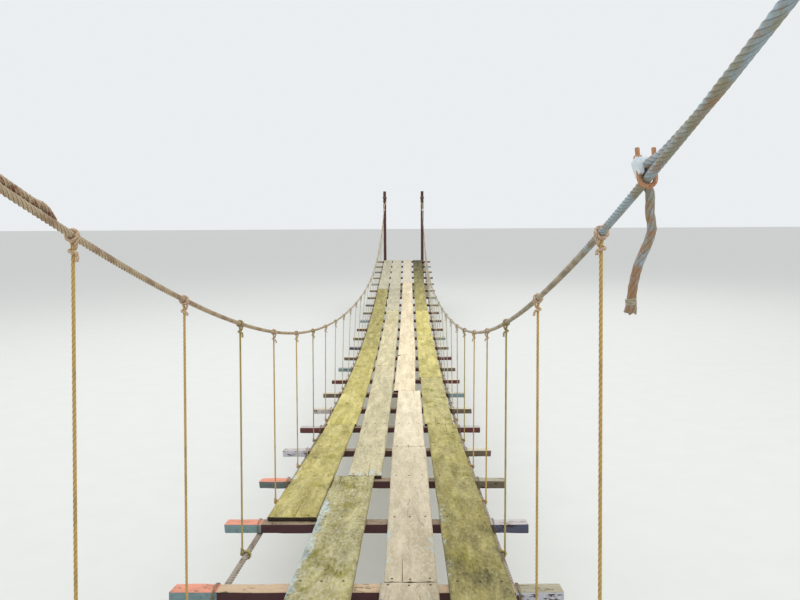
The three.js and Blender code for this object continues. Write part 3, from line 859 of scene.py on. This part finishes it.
def board(entry):
    row, first, last, start, _, timber, greyness, painted_light_ends = entry
    length, width = (last - first) * BAY, (start[1] - start[0]) / 1000
    bm = block(
        (width, length, PLANK_THICKNESS), (1, round(length / (0.07 if first < 7 else 0.16))), (0, 5))
    splits = [split[2:] for split in SPLITS if split[:2] == (row, first)]
    for share, _, _ in splits:
        for shift in (-SPLIT_WIDTH, 0, SPLIT_WIDTH):
            cut_through(bm, ((share - 0.5) * width + shift, 0, 0), (1, 0, 0), 0.00001)
    soften(bm, EDGE)
    board_map = bm.loops.layers.uv.new("board")
    paint, grey, painted_light = (bm.verts.layers.float.new(name) for name in ("paint", "grey", "painted_light"))
    for face in bm.faces:
        face.material_index = len(TIMBERS) if abs(face.normal.y) > 0.8 else TIMBERS.index(timber)
        for loop in face.loops:
            x, y, _ = loop.vert.co
            loop[board_map].uv = (2 * x / width, y + length / 2 + first * BAY)
    for vert in bm.verts:
        share, t = vert.co.x / width + 0.5, vert.co.y / length + 0.5
        height = vert.co.z + PLANK_THICKNESS / 2
        vert[paint] = paint_left(entry, share, t)
        vert[grey] = greyness
        # painted light: above zero it brightens the board as painted sunlight, below zero it darkens it as
        # painted shade
        vert[painted_light] = blend(*painted_light_ends, t)
        vert.co = on_board(entry, share, t, height)
        for split_share, at_end, reach in splits:
            away = (1 - t if at_end else t) * length
            off_line = abs(share - split_share) * width
            if off_line < 0.0004 and away < reach and height > PLANK_THICKNESS * 0.6:
                vert.co.z -= SPLIT_DEPTH * (1 - away / reach) ** 0.6
    if (row, first) == BROKEN_CORNER:
        cut = cut_through(
            bm, on_board(entry, 0.0, 0.955, 0), (-0.9, 0.42, 0.08), 0.0001, clear_outer=True)
        rim = [edge for edge in cut["geom_cut"] if isinstance(edge, bmesh.types.BMEdge)]
        for face in bmesh.ops.holes_fill(bm, edges=rim, sides=0)["faces"]:
            face.material_index = TIMBERS.index(timber)
    return bm


test_board = board(BOARDS[0])
print("the first board has", len(test_board.faces), "faces")
test_board.free()

# %% [markdown]
# Sun, rain and boots leave a board grey on its high grain, green or olive where moss keeps wet,
# smudged, and stained round its nails. The nails sit at three shares of the board's width on each
# crossbeam, so the stain can be found from the UV map alone: a triangle wave that is zero at the
# nails gives the distance to the nearest one. Paint along an edge comes from a value that each
# board carries, broken up by noise so that it looks like flakes and not like a stripe. Greyness
# is carried in the same way, because one board differs from the next, and so is painted light:
# painted sunlight that brightens the boards in the middle of the deck, and painted shade that
# darkens some boards at its ends.

# %% Finish of boards
NAIL_SPACING, HALF_WIDTH = 0.35, 0.125


def board_timber(name, light, dark, moss, silver, moss_share, contrast):
    f = Finish(f"{name}_board", 0.9)
    grain = f.noise((1, 0.035, 1), 150, 5, 0.65, 0.3)
    broad = f.noise((1, 0.09, 1), 13, 5, 0.6, 0.4)
    blotch = f.noise((1, 0.4, 1), 8, 7, 0.72, 0.3)
    fleck = f.noise((1, 0.35, 1), 75, 5, 0.7)
    streak = f.noise((1, 0.03, 1), 48, 5, 0.7, 0.2)
    dust = f.noise(EVEN, 420, 2, 0.6)
    deep_grain = f.mix(0.4, dark, (52, 44, 32))

    rim = f.plus(f.math("ABSOLUTE", f.axis(0, "UV")), streak, 0.24)
    across = f.times(f.math("PINGPONG", f.axis(0, "UV"), NAIL_SPACING), HALF_WIDTH)
    along = f.times(f.math("PINGPONG", f.axis(1, "UV"), BAY / 2), 0.6)
    from_nail = f.math("SQRT", f.plus(f.times(across, across), f.times(along, along)))
    colour = f.layers(
        light, (broad, 0.36, 0.64, 1, dark),
        (f.plus(fleck, f.value_of("grey"), 0.34), 0.52, 0.80, 1, silver),
        (blotch, 0.93 - moss_share, 1.07 - moss_share, 0.85, moss),
        (grain, 0.52, 0.76, 0.38, deep_grain), (dust, 0.55, 0.75, 0.18, (58, 50, 36)),
        (streak, 0.50, 0.68, 0.26, deep_grain), (rim, 1.02, 1.12, 0.4, deep_grain),
        (f.plus(from_nail, fleck, 0.014), 0.020, 0.010, 0.4, (96, 82, 56)))
    vein = f.math("ABSOLUTE", f.math("SUBTRACT", f.noise((1, 0.012, 1), 30, 2, 0.4), 0.5))
    crack = f.times(f.band(vein, 0.007, 0.002), f.band(blotch, 0.50, 0.60))
    colour = f.mix(f.times(crack, 0.7), colour, (60, 50, 36))

    painted = f.value_of("paint")
    flakes = f.plus(fleck, f.noise((1, 0.2, 1), 24, 6, 0.75), 2.2)
    paint = f.times(f.band(f.plus(flakes, painted), 2.02, 2.20), f.band(painted, 0.0, 0.2))
    pale_paint = f.layers((206, 216, 212), (dust, 0.4, 0.7, 1, (150, 176, 178)))
    colour = f.mix(f.times(paint, 0.8), colour, pale_paint)

    # the board's brightness takes in its painted light, that is painted sunlight and painted shade
    sun = f.plus(0.86 - 0.85 * contrast, f.value_of("painted_light"), 0.36)
    smudge = f.plus(f.noise((1, 0.22, 1), 13, 6, 0.7), fleck, 0.7)
    bright = {"Value": f.plus(sun, smudge, contrast), "Color": colour}
    colour = f.add("ShaderNodeHueSaturation", bright, "Color")
    normal = f.bump(fleck, 0.0025, 0.45, f.bump(grain, 0.0014, 0.8))
    return f.wear(colour, f.bump(f.math("SUBTRACT", 1.0, crack), 0.003, 0.7, normal))


def end_grain(name, light, dark):
    f = Finish(name, 0.95)
    rings = f.noise(EVEN, 90, 4, 0.6, 1.2)
    return f.wear(f.layers(light, (rings, 0.4, 0.65, 1, dark)), f.bump(rings, 0.002, 0.8))


timbers = [board_timber(*values) for values in (
    # name, light, dark, moss, silver, share of moss, contrast of smudges
    ("mossy", (190, 178, 112), (164, 151, 80), (142, 134, 50), (186, 180, 146), 0.42, 1.6),
    ("beige", (206, 194, 154), (180, 168, 128), (160, 152, 92), (200, 196, 176), 0.30, 1.0),
    ("pale", (228, 212, 180), (206, 190, 156), (186, 172, 128), (218, 210, 190), 0.22, 0.6),
)]
timbers.append(end_grain("board_end_grain", (66, 55, 40), (36, 29, 22)))
nail_steel = end_grain("rusted_nail", (74, 58, 44), (46, 36, 30))
print("board finishes:", ", ".join(timber.name for timber in timbers))

# %% [markdown]
# The boards of one row become one piece. Nails go through them into each crossbeam: short cones
# that are a little wider below, so that the head's rim catches the light. They are placed with
# the same function that bends the boards, and so they follow each board's cup.

# %% Plank rows and nails
SAWN_ANGLE = 50
NAIL_RADIUS, NAIL_HEIGHT, NAIL_INSET = 0.0056, 0.0026, 0.03
NAIL_SHARES = (0.5 - NAIL_SPACING, 0.5, 0.5 + NAIL_SPACING)

for row in range(1, 5):
    whole = bmesh.new()
    for entry in BOARDS:
        if entry[0] == row:
            take_in(whole, board(entry))
    make_piece(f"boards_of_row_{row}", whole, timbers,
               [f"plank_row_{row}_{stretch}" for stretch in ("near", "middle", "far")], SAWN_ANGLE)

whole = bmesh.new()
rng = random.Random(5)
for entry in BOARDS:
    first, last = entry[1:3]
    inset = NAIL_INSET / ((last - first) * BAY)
    for index in range(math.ceil(first), math.floor(last) + 1):
        t = min(1 - inset, max(inset, (index - first) / (last - first)))
        for share in NAIL_SHARES:
            aside, ahead = rng.uniform(-0.02, 0.02), rng.uniform(-0.3, 0.3) * inset
            place = on_board(entry, share + aside, t + ahead, PLANK_THICKNESS)
            turn = Matrix.Rotation(deck_slope(place.y) + rng.uniform(-0.1, 0.1), 4, "X")
            bmesh.ops.create_cone(
                whole, segments=8, cap_ends=True, radius1=NAIL_RADIUS, radius2=NAIL_RADIUS * 0.8,
                depth=NAIL_HEIGHT, matrix=Matrix.Translation(place + Vector((0, 0, 0.0002))) @ turn)
make_piece("deck_nails", whole, [nail_steel], sharp_angle=30)

# %% [markdown]
# The crossbeams are sawn timbers that were once painted, each with what paint was at hand: their
# tops are salmon, whitish or tan, and their sides teal, blue or maroon, with older coats showing
# through the flakes. Some tones also carry painted light: the far beams' pale tops are partly
# painted sunlight, and the slate sides and the sides under the boards are darkened as painted
# shade. Chips of two sizes are mixed into one noise. Where it is high the coat is gone and an older
# one shows, and where it is higher still, bare timber. The table lists the colours of the coat, the
# older coat and the timber, so a new paint is one line.

# %% Finish of painted timber
def painted_timber(name, coat, older, bare, coat_share, older_share, soil=0.15, grain_axis=0):
    def stretched(share):
        return tuple(share if axis == grain_axis else 1 for axis in range(3))

    f = Finish(name, 0.8)
    flakes = f.noise(stretched(0.6), 85, 5, 0.7)
    grain = f.noise(stretched(0.05), 170, 4, 0.6)
    chips = f.plus(f.times(f.noise(stretched(0.45), 34, 7, 0.72, 0.4), 0.75), flakes, 0.25)
    older_gone, coat_gone = 0.60 - older_share * 0.3, 0.42 + coat_share * 0.24
    bare_mask = f.band(chips, coat_gone, coat_gone + 0.03)
    timber = f.layers(bare, (grain, 0.42, 0.62, 1, f.mix(0.6, bare, (40, 32, 26))))
    below = f.layers(older, (chips, older_gone, older_gone + 0.02, 1, timber))
    coat_tone = f.layers(coat, (flakes, 0.4, 0.7, 1, f.mix(0.25, coat, older)))
    colour = f.layers(
        f.mix(bare_mask, coat_tone, below), (f.noise(EVEN, 12, 5, 0.7), 0.45, 0.75, soil, (62, 54, 44)),
        (grain, 0.6, 0.78, 0.2, (50, 42, 36)))
    normal = f.bump(f.math("SUBTRACT", 1.0, bare_mask), 0.0012, 0.8)
    return f.wear(colour, f.bump(grain, 0.0012, 0.7, normal))


paints = {name: painted_timber(f"{name}_paint", *values) for name, *values in (
    # name, coat, older coat, bare timber, shares of coat and older coat, soil
    ("salmon", (228, 148, 122), (196, 160, 134), (158, 128, 98), 0.62, 0.6, 0.3),
    ("tan", (196, 168, 134), (214, 204, 186), (140, 122, 98), 0.6, 0.5),
    ("khaki", (164, 156, 130), (200, 194, 176), (124, 112, 90), 0.55, 0.5),
    ("lavender", (196, 189, 186), (160, 152, 148), (136, 122, 106), 0.55, 0.5),
    ("cream", (212, 204, 180), (176, 166, 158), (136, 122, 100), 0.6, 0.5),
    ("teal", (124, 150, 152), (96, 84, 84), (72, 56, 50), 0.65, 0.6),
    ("sky", (196, 200, 208), (196, 120, 104), (96, 76, 72), 0.4, 0.8),
    ("navy", (76, 84, 104), (132, 48, 52), (56, 46, 46), 0.45, 0.7),
    ("maroon", (98, 50, 48), (66, 54, 56), (56, 44, 38), 0.6, 0.4),
    ("pale", (222, 214, 192), (196, 186, 160), (160, 146, 120), 0.6, 0.5),
    ("bare", (108, 95, 78), (84, 72, 60), (66, 56, 46), 0.55, 0.5),
    # slate is a teal darkened by dirt and also as painted shade
    ("slate", (100, 112, 110), (80, 68, 64), (60, 50, 44), 0.6, 0.5),
    # soiled is soil on the beam tops between the boards, darkened further as painted shade
    ("soiled", (150, 130, 106), (118, 88, 74), (96, 82, 66), 0.55, 0.5, 0.4),
    # shaded is painted shade: the dark maroon of the beam sides between the lower cables, under the boards
    ("shaded", (72, 38, 40), (54, 42, 42), (48, 38, 32), 0.6, 0.4),
    ("dark", (66, 52, 42), (50, 40, 34), (44, 36, 30), 0.6, 0.4),
)}
print("paints:", ", ".join(paints))

# %% [markdown]
# One material for a whole beam could not hold its colours, so each beam takes seven: a top and a
# side for each end, a duller top and a side darkened as painted shade between the lower cables, and
# one for its underside. Beyond the first four beams that duller top is soiled and also darkened as
# painted shade. Where a face looks and how far out it lies decide which it gets. The list names the
# paint of the left top, left side, right top and right side, from the near end on; further away the
# same few come back, with pale tops that are partly painted sunlight. The edges are worn by noise,
# always inwards.

# %% Crossbeams
BEAM_PAINTS = (
    "salmon teal lavender sky", "lavender maroon tan navy", "tan teal cream teal",
    "salmon teal khaki sky", "salmon teal lavender navy", "salmon slate khaki bare",
    "lavender sky cream bare", "lavender maroon lavender maroon", "cream lavender cream bare",
)
# the far beams' tops are kept pale, partly as painted sunlight on them
FAR_PAINTS = (
    "cream maroon pale maroon", "lavender teal cream bare", "pale bare lavender maroon",
    "lavender navy pale bare", "cream bare cream teal",
)
LASHING_PLACE = 0.61
BEAM_SIZE = (BEAM_LENGTH, BEAM_DEPTH, BEAM_HEIGHT)
BEAM_EDGE, BEAM_WEAR = 0.008, 0.0045


def wear_off(vert, axes, depth):
    """Moves a point of a block inwards along some axes."""
    for axis in axes:
        vert.co[axis] -= math.copysign(depth, vert.co[axis])


def paint_of(face):
    """The number of the paint that a face of a beam gets."""
    up, place = face.normal.z, face.calc_center_median().x
    if up < -0.75:
        return 6
    half = 4 if abs(place) < LASHING_PLACE else 0 if place < 0 else 2
    return half if up > 0.6 else half + 1


for index in range(BAYS + 1):
    name = {0: "end_beam_near", BAYS: "end_beam_far"}.get(index, f"crossbeam_{index:02d}")
    near = index < len(BEAM_PAINTS)
    bm = block(BEAM_SIZE, (0, 40 if near else 16))
    soften(bm, 0.006, 3)
    for face in bm.faces:
        face.material_index = paint_of(face)
    for vert in bm.verts:
        x, y, z = vert.co
        worn = BEAM_WEAR * max(0, wobble(x * 9, y * 14, z * 14 + index * 3.7) + 0.1)
        at_x, at_y, at_z = (abs(c) > size / 2 - BEAM_EDGE for c, size in zip(vert.co, BEAM_SIZE))
        if at_y and at_z:
            wear_off(vert, (1, 2), worn)
        if at_x:
            wear_off(vert, (0,), worn * 1.6)
    y = beam_place(index)
    put(bm, (0, 0, -BEAM_HEIGHT / 2))
    put(bm, (0, y, deck_line(y)), deck_slope(y))
    outer = BEAM_PAINTS[index] if near else FAR_PAINTS[index % len(FAR_PAINTS)]
    # beyond the first four beams the top between the lower cables is soil and painted shade, and the side
    # there is painted shade
    names = outer.split() + ["tan" if index < 4 else "soiled", "shaded", "dark"]
    finishes = [paints[paint] for paint in names]
    make_piece(f"{name}_timber", bm, finishes, [name], SAWN_ANGLE)

# %% [markdown]
# Wire binds every crossbeam to the lower cables. A band or a box round the joint would hide how it
# is held, so the wire is laid turn by turn: over the beam, down its sides and under the cable,
# a few millimetres further at each turn, with its two ends twisted off to one side. The turns are
# drawn as if the beam were level at the origin, and a matrix then sets them on the tilted beam.

# %% Wire lashings
WIRE_RADIUS, WIRE_AWAY, WIRE_PITCH = 0.0017, 0.0022, 0.0042


def lashing_route(side, index):
    rng = random.Random(500 + 2 * index + (side == "left"))
    y = beam_place(index)
    on_beam = Matrix.Translation((0, y, deck_line(y))) @ Matrix.Rotation(deck_slope(y), 4, "X")
    half, bottom = BEAM_DEPTH / 2 + WIRE_AWAY, -BEAM_HEIGHT - 2 * LOWER_RADIUS
    ring = (
        (-half + 0.005, WIRE_AWAY), (half - 0.005, WIRE_AWAY), (half, -0.004), (half, -BEAM_HEIGHT + 0.004),
        (0.022, bottom + 0.006), (0.012, bottom - 0.0026), (-0.012, bottom - 0.0026),
        (-0.022, bottom + 0.006), (-half, -BEAM_HEIGHT + 0.004), (-half, -0.004),
    )
    turns = 3 if index % 2 else 2
    shift = rng.uniform(-0.004, 0.002)
    points = []
    for turn in range(turns):
        for k, (along, up) in enumerate(ring):
            across = shift + WIRE_PITCH * (turn - turns / 2 + k / len(ring)) + rng.uniform(-0.0008, 0.0008)
            points.append(on_beam @ Vector((SIDES[side] * (LOWER_PLACE + across), along, up)))
    points += beside(points[-1], (0, -0.006, -0.010), (SIDES[side] * 0.006, -0.012, -0.022))
    return smooth_route(points, 0.012)


for side in SIDES:
    whole = bmesh.new()
    for index in range(1, BAYS):
        lay_wire(whole, lashing_route(side, index), WIRE_RADIUS, 0.011)
    make_piece(f"wire_lashings_{side}", whole, [ropes["stay"]])

# %% [markdown]
# The towers are slender square posts of dark, maroon-brown hardwood. They get their worn edges in
# the same way as the crossbeams, and a sloped cut on top that sheds the rain.

# %% Posts
post_timber = painted_timber(
    "post_timber", (76, 46, 41), (62, 44, 38), (104, 84, 70), 0.52, 0.5, 0.35, grain_axis=2)
POST_EDGE, POST_WEAR, TOP_CUT = 0.006, 0.004, 0.012
CORNERS = [(end, side) for end in ENDS for side in SIDES]

for end, side in CORNERS:
    name = f"post_{end}_{side}"
    low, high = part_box(name)
    size = high - low
    bm = block(size, (2, 60))
    soften(bm, 0.005)
    for vert in bm.verts:
        x, y, z = vert.co
        if abs(x) > size.x / 2 - POST_EDGE and abs(y) > size.y / 2 - POST_EDGE:
            wear_off(vert, (0, 1), POST_WEAR * max(0, wobble(x * 30, y * 30, z * 6) + 0.1))
        if z > size.z / 2 - POST_EDGE:
            vert.co.z -= TOP_CUT * (0.5 + ENDS[end] * vert.co.y / size.y)
    put(bm, (low + high) / 2)
    make_piece(f"{name}_timber", bm, [post_timber], [name], SAWN_ANGLE)
print("the posts are", round(high.z, 2), "m high")

# %% [markdown]
# A wire rope clip presses the tail of a cable onto its standing part: a U-bolt from below, a forged
# saddle on top and two nuts. The bolt is a plain bar on a route. Its threads are the same bar with
# a radius that falls and rises along a screw line, because a spun thread would need its own
# section and joints. All of it is rusted steel, the saddle with old pale paint that is made brighter
# still as painted sunlight.

# %% Bars, threads and rusted steel
BAR_SIDES, BAR_STEP = 12, 0.006
THREAD_PITCH, THREAD_DEPTH = 0.00175, 0.14


def plain_bar(length, radius, step):
    bm = bmesh.new()
    bmesh.ops.create_circle(bm, segments=BAR_SIDES, radius=radius)
    spin_up(bm, length, max(1, round(length / step)))
    close_ends(bm, radius * 0.01)
    return bm


def lay_bar(whole, route, radius, material=None):
    bar = plain_bar(route_length(route), radius, BAR_STEP)
    carry(bar, route)
    take_in(whole, bar, material)


def thread(place, length, radius):
    bm = plain_bar(length, radius, THREAD_PITCH / 5)
    for vert in bm.verts:
        turn = math.atan2(vert.co.y, vert.co.x) / (2 * math.pi) - vert.co.z / THREAD_PITCH
        vert.co.xy *= 1 - THREAD_DEPTH * abs(2 * (turn - math.floor(turn)) - 1)
    put(bm, place)
    return bm


def rusted_steel(name, steel, rust, dark, share):
    f = Finish(name, 0.75, 0.25)
    blotch, speck = f.noise(EVEN, 85, 5, 0.7), f.noise(EVEN, 500, 3, 0.65)
    colour = f.layers(steel, (blotch, 0.94 - share, 1.06 - share, 1, rust), (speck, 0.5, 0.7, 0.6, dark))
    return f.wear(colour, f.bump(speck, 0.0006, 0.8))


bolt_steel = rusted_steel("rusted_bolt", (206, 158, 122), (182, 122, 84), (116, 78, 56), 0.45)
# the saddle's old pale paint is made brighter still as painted sunlight
saddle_steel = rusted_steel("pale_painted_sunlit_saddle", (232, 242, 248), (196, 186, 176), (150, 150, 150), 0.30)
print("steel finishes:", bolt_steel.name, saddle_steel.name)

# %% [markdown]
# The saddle is an outline with a groove for the rope, pushed out along the cable and bevelled on
# its upper edges. A clip is put together level at the origin and is then tilted onto its cable.

# %% Wire rope clips
LEG_RADIUS, LEG_PLACE = 0.005, 0.0165
SADDLE_ALONG, SADDLE_HIGH, SADDLE_DEEP, SADDLE_EDGE = 0.034, 0.012, 0.011, 0.006
SADDLE_HALF, SADDLE_FOOT, GROOVE = 0.026, 0.0185, 0.0104
NUT_RADIUS, NUT_HIGH = 0.009, 0.007
THREAD_BELOW, THREAD_LENGTH = 0.006, 0.03
LEFTWARD, UPWARD, ALONG = Vector((-1, 0, 0)), Vector((0, 0, 1)), Vector((0, 1, 0))


def saddle(strand_height, top):
    bottom, rim = strand_height - SADDLE_DEEP, top - SADDLE_EDGE
    wing = [(-SADDLE_HALF, top), (-SADDLE_HALF, rim), (-SADDLE_FOOT, bottom), (-GROOVE, bottom)]
    groove = turns_round(UPWARD * strand_height, ALONG, LEFTWARD, GROOVE, 0, 0.5, 16)
    outline = wing + [(point.x, point.z) for point in groove] + [(-x, z) for x, z in wing[::-1]]
    bm = bmesh.new()
    face = bm.faces.new([bm.verts.new((x, -SADDLE_ALONG / 2, z)) for x, z in outline])
    moved = bmesh.ops.extrude_face_region(bm, geom=[face])["geom"]
    far_rim = [vert for vert in moved if isinstance(vert, bmesh.types.BMVert)]
    bmesh.ops.translate(bm, verts=far_rim, vec=(0, SADDLE_ALONG, 0))
    soften(bm, 0.0016, edges=[
        edge for edge in bm.edges
        if edge.calc_face_angle(0) > 0.9 and max(vert.co.z for vert in edge.verts) > rim])
    return bm


def nut(place):
    bm = bmesh.new()
    bmesh.ops.create_cone(
        bm, segments=6, cap_ends=True, radius1=NUT_RADIUS, radius2=NUT_RADIUS, depth=NUT_HIGH)
    soften(bm, 0.0009, edges=[
        edge for edge in bm.edges if abs(edge.verts[0].co.z - edge.verts[1].co.z) < 0.0001])
    put(bm, place)
    return bm


for (end, side), from_post in CLIP_PLACES.items():
    name = f"cable_clip_{end}_{side}"
    y = ENDS[end] * (POST_PLACE - from_post)
    strand_height = RETURN_LIFT * math.cos(cable_slope(y))
    top = strand_height + CABLE_RADIUS + GAP + SADDLE_HIGH
    whole = bmesh.new()
    take_in(whole, saddle(strand_height, top), 1)
    bend = turns_round(Vector(), -ALONG, LEFTWARD, LEG_PLACE, 0, 0.5, 24)
    legs = [Vector((across, 0, top - THREAD_BELOW)) for across in (-LEG_PLACE, LEG_PLACE)]
    lay_bar(whole, [legs[0], *bend, legs[1]], LEG_RADIUS)
    for leg in legs:
        take_in(whole, thread(leg, THREAD_LENGTH, LEG_RADIUS))
        take_in(whole, nut((leg.x, 0, top + NUT_HIGH / 2)))
    put(whole, cable_point(side, y), cable_slope(y))
    make_piece(f"{name}_steel", whole, [bolt_steel, saddle_steel], [name])

# %% [markdown]
# The backstays hold the towers upright. Each is looped round its post head and hooked round an
# eye at the anchor block, and its two ends lie along it, where wire is wound round both strands.
# None of this is seen in the picture, so it follows the frame, with the same twisted rope as the
# cables. The wire starts as turns round one rope, and its two halves are then moved apart.

# %% Backstays
STAY_RADIUS, STAY_ABOVE = 0.01, 0.12
STAY_EYE, STAY_TAIL, STAY_NECK = 0.19, 0.62, 0.33
SEIZING_RADIUS, SEIZING_PITCH, SEIZING_TURNS, STRANDS_APART = 0.0013, 0.0035, 7, 0.019
EYE_BAR_RADIUS, EYE_RADIUS, EYE_STRAIGHT, EYE_SINK = 0.009, 0.045, 0.015, 0.06
ANCHOR_SIZE = Vector((1.7, 0.5, 0.45))


def stay_routes(end, side):
    """The main rope and the tail of a backstay, with the directions down it and above it."""
    way, x = ENDS[end], post_across(end, side)
    head = Vector((x, way * POST_PLACE, cable_line(POST_PLACE) + STAY_ABOVE))
    bar = Vector((x, way * ANCHOR_PLACE, ANCHOR_SIZE.z + EYE_STRAIGHT + EYE_RADIUS))
    length = (bar - head).length
    down = (bar - head) / length
    upper = Vector((0, -way * down.z, way * down.y))
    hook_radius = EYE_BAR_RADIUS + STAY_RADIUS + 2 * GAP
    together = hook_radius - 2 * STAY_RADIUS + 0.001

    def under_stay(from_bar, offset):
        return bar - down * from_bar - upper * offset

    hook = turns_round(bar, ALONG.cross(UPWARD) * way, -upper, hook_radius, 0, 0.5, 16)
    turn = turn_round_post(end, side, head.z, STAY_RADIUS, -SIDES[side], -way)
    neck = length - STAY_NECK
    tail = turn[-2:] + [under_stay(neck, -together), under_stay(length - STAY_TAIL, -together)]
    main = [
        *turn[::-1], under_stay(neck, hook_radius), under_stay(STAY_EYE, hook_radius), *hook,
        under_stay(STAY_EYE, together), under_stay(STAY_TAIL, together)]
    return main, tail, down, upper


def seizing(whole, centre, axis, toward):
    """Wire wound round two strands that lie side by side."""
    points = []
    radius = STAY_RADIUS + SEIZING_RADIUS
    for point in turns_round(Vector(), axis, toward, radius, SEIZING_PITCH, SEIZING_TURNS, 12):
        outward = point.dot(toward)
        spread = math.copysign(min(1, abs(outward) / 0.004), outward) * STRANDS_APART / 2
        points.append(centre + point + toward * spread)
    lay_wire(whole, smooth_route(points, 0.006), SEIZING_RADIUS, 0.008, material=1)


for end, side in CORNERS:
    name = f"backstay_{end}_{side}"
    whole = bmesh.new()
    main, tail, down, upper = stay_routes(end, side)
    for points in (main, tail):
        lay_rope(whole, smooth_route(points, ROUNDING), STAY_RADIUS, 6, 3, CABLE_LAY, 0.014)
    for tail_end, way in ((tail[-1], -1), (main[-1], 1)):
        for away in (0.03, 0.16):
            seizing(whole, tail_end + down * way * away - upper * STRANDS_APART / 2, down, upper)
    make_piece(f"{name}_strands", whole, [ropes["stay"], ropes["pale"]], [name])

# %% [markdown]
# The anchor blocks are rough cast concrete. The marks of the form's boards show on their sides as
# thin dark lines, and their arrises and faces are uneven. Each holds two steel eyes, which are
# plain bars on a route like the bolts. The feet of the blocks stay flat.

# %% Anchor blocks
MARKS, FLAT_FOOT, ROUGHNESS = 62.8, 0.03, 0.006


def cast_concrete():
    f = Finish("rough_concrete", 0.95)
    broad, pores = f.noise(EVEN, 5, 6, 0.7), f.noise(EVEN, 140, 3, 0.6)
    boards = f.math("SINE", f.times(f.axis(2), MARKS))
    colour = f.layers(
        (168, 162, 150), (broad, 0.35, 0.65, 1, (128, 124, 112)), (pores, 0.58, 0.72, 1, (92, 88, 78)),
        (boards, 0.96, 1.0, 0.5, (96, 92, 84)))
    return f.wear(colour, f.bump(f.band(boards, 0.9, 1.0), 0.002, 0.6, f.bump(pores, 0.003, 0.7)))


rough_concrete = cast_concrete()

for end, way in ENDS.items():
    whole = block(ANCHOR_SIZE, (0, 9), (1, 9), (2, 9))
    soften(whole, 0.018, 3)
    for vert in whole.verts:
        if vert.co.z > FLAT_FOOT - ANCHOR_SIZE.z / 2:
            rough = ROUGHNESS * (1 + noise.noise(vert.co * 7 + Vector((way, 0, 0))))
            out = [abs(place / size) for place, size in zip(vert.co, ANCHOR_SIZE)]
            wear_off(vert, [out.index(max(out))], rough)
    put(whole, (0, way * ANCHOR_PLACE, ANCHOR_SIZE.z / 2))
    for side in SIDES:
        base = Vector((post_across(end, side), way * ANCHOR_PLACE, ANCHOR_SIZE.z))
        bend = turns_round(base + UPWARD * EYE_STRAIGHT, ALONG, LEFTWARD, EYE_RADIUS, 0, 0.5, 24)
        feet = beside(base, (-EYE_RADIUS, 0, -EYE_SINK), (EYE_RADIUS, 0, -EYE_SINK))
        lay_bar(whole, [feet[0], *bend, feet[1]], EYE_BAR_RADIUS, material=1)
    make_piece(f"anchor_{end}_concrete", whole, [rough_concrete, bolt_steel],
               [f"anchor_block_{end}"])

# %% [markdown]
# A floor and soft studio light: a wide pale ground, a bright even sky and three large lamps above
# the span, so that the relief of ropes and boards shows without hard shadows.

# %% Floor and light
FLOOR_SIZE, FLOOR_DROP = 250, 0.001
LAMP_SIZE, LAMP_POWER, LAMP_HEIGHT, LAMP_AIM = 16.0, 430, 11.0, 0.8

ground = bmesh.new()
bmesh.ops.create_grid(ground, x_segments=1, y_segments=1, size=FLOOR_SIZE)
mesh = bpy.data.meshes.new("floor")
ground.to_mesh(mesh)
ground.free()
floor = bpy.data.objects.new("floor", mesh)
floor.location.z = -FLOOR_DROP
bpy.context.scene.collection.objects.link(floor)
f = Finish("pale_floor", 0.9)
grain = f.noise(EVEN, 3, 3, 0.5)
mesh.materials.append(f.wear(f.mix(grain, (216, 216, 212), (222, 222, 218)), f.bump(grain, 0.002, 0.2)))
floor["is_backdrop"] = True

world = bpy.data.worlds.new("soft_sky")
world.use_nodes = True
sky = world.node_tree.nodes["Background"].inputs
sky["Color"].default_value = tint((230, 233, 235))
sky["Strength"].default_value = 1.05
bpy.context.scene.world = world
for name, x, y in (("lamp_near", 4, -10), ("lamp_middle", -4, 0), ("lamp_far", 4, 10)):
    lamp_data = bpy.data.lights.new(name, "AREA")
    lamp_data.size = LAMP_SIZE
    lamp_data.energy = LAMP_POWER
    lamp = bpy.data.objects.new(name, lamp_data)
    lamp.location = (x, y, LAMP_HEIGHT)
    aim = Vector((0, y, LAMP_AIM)) - lamp.location
    lamp.rotation_euler = aim.to_track_quat("-Z", "Y").to_euler()
    bpy.context.scene.collection.objects.link(lamp)
bpy.context.scene.view_settings.view_transform = "Standard"

# %% [markdown]
# The visual model has to fit in the frame's box. The box of the visual model is written down
# for a last look.

# %% Sizes and finish
low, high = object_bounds()
print("visual box", [round(v, 3) for v in low], [round(v, 3) for v in high])
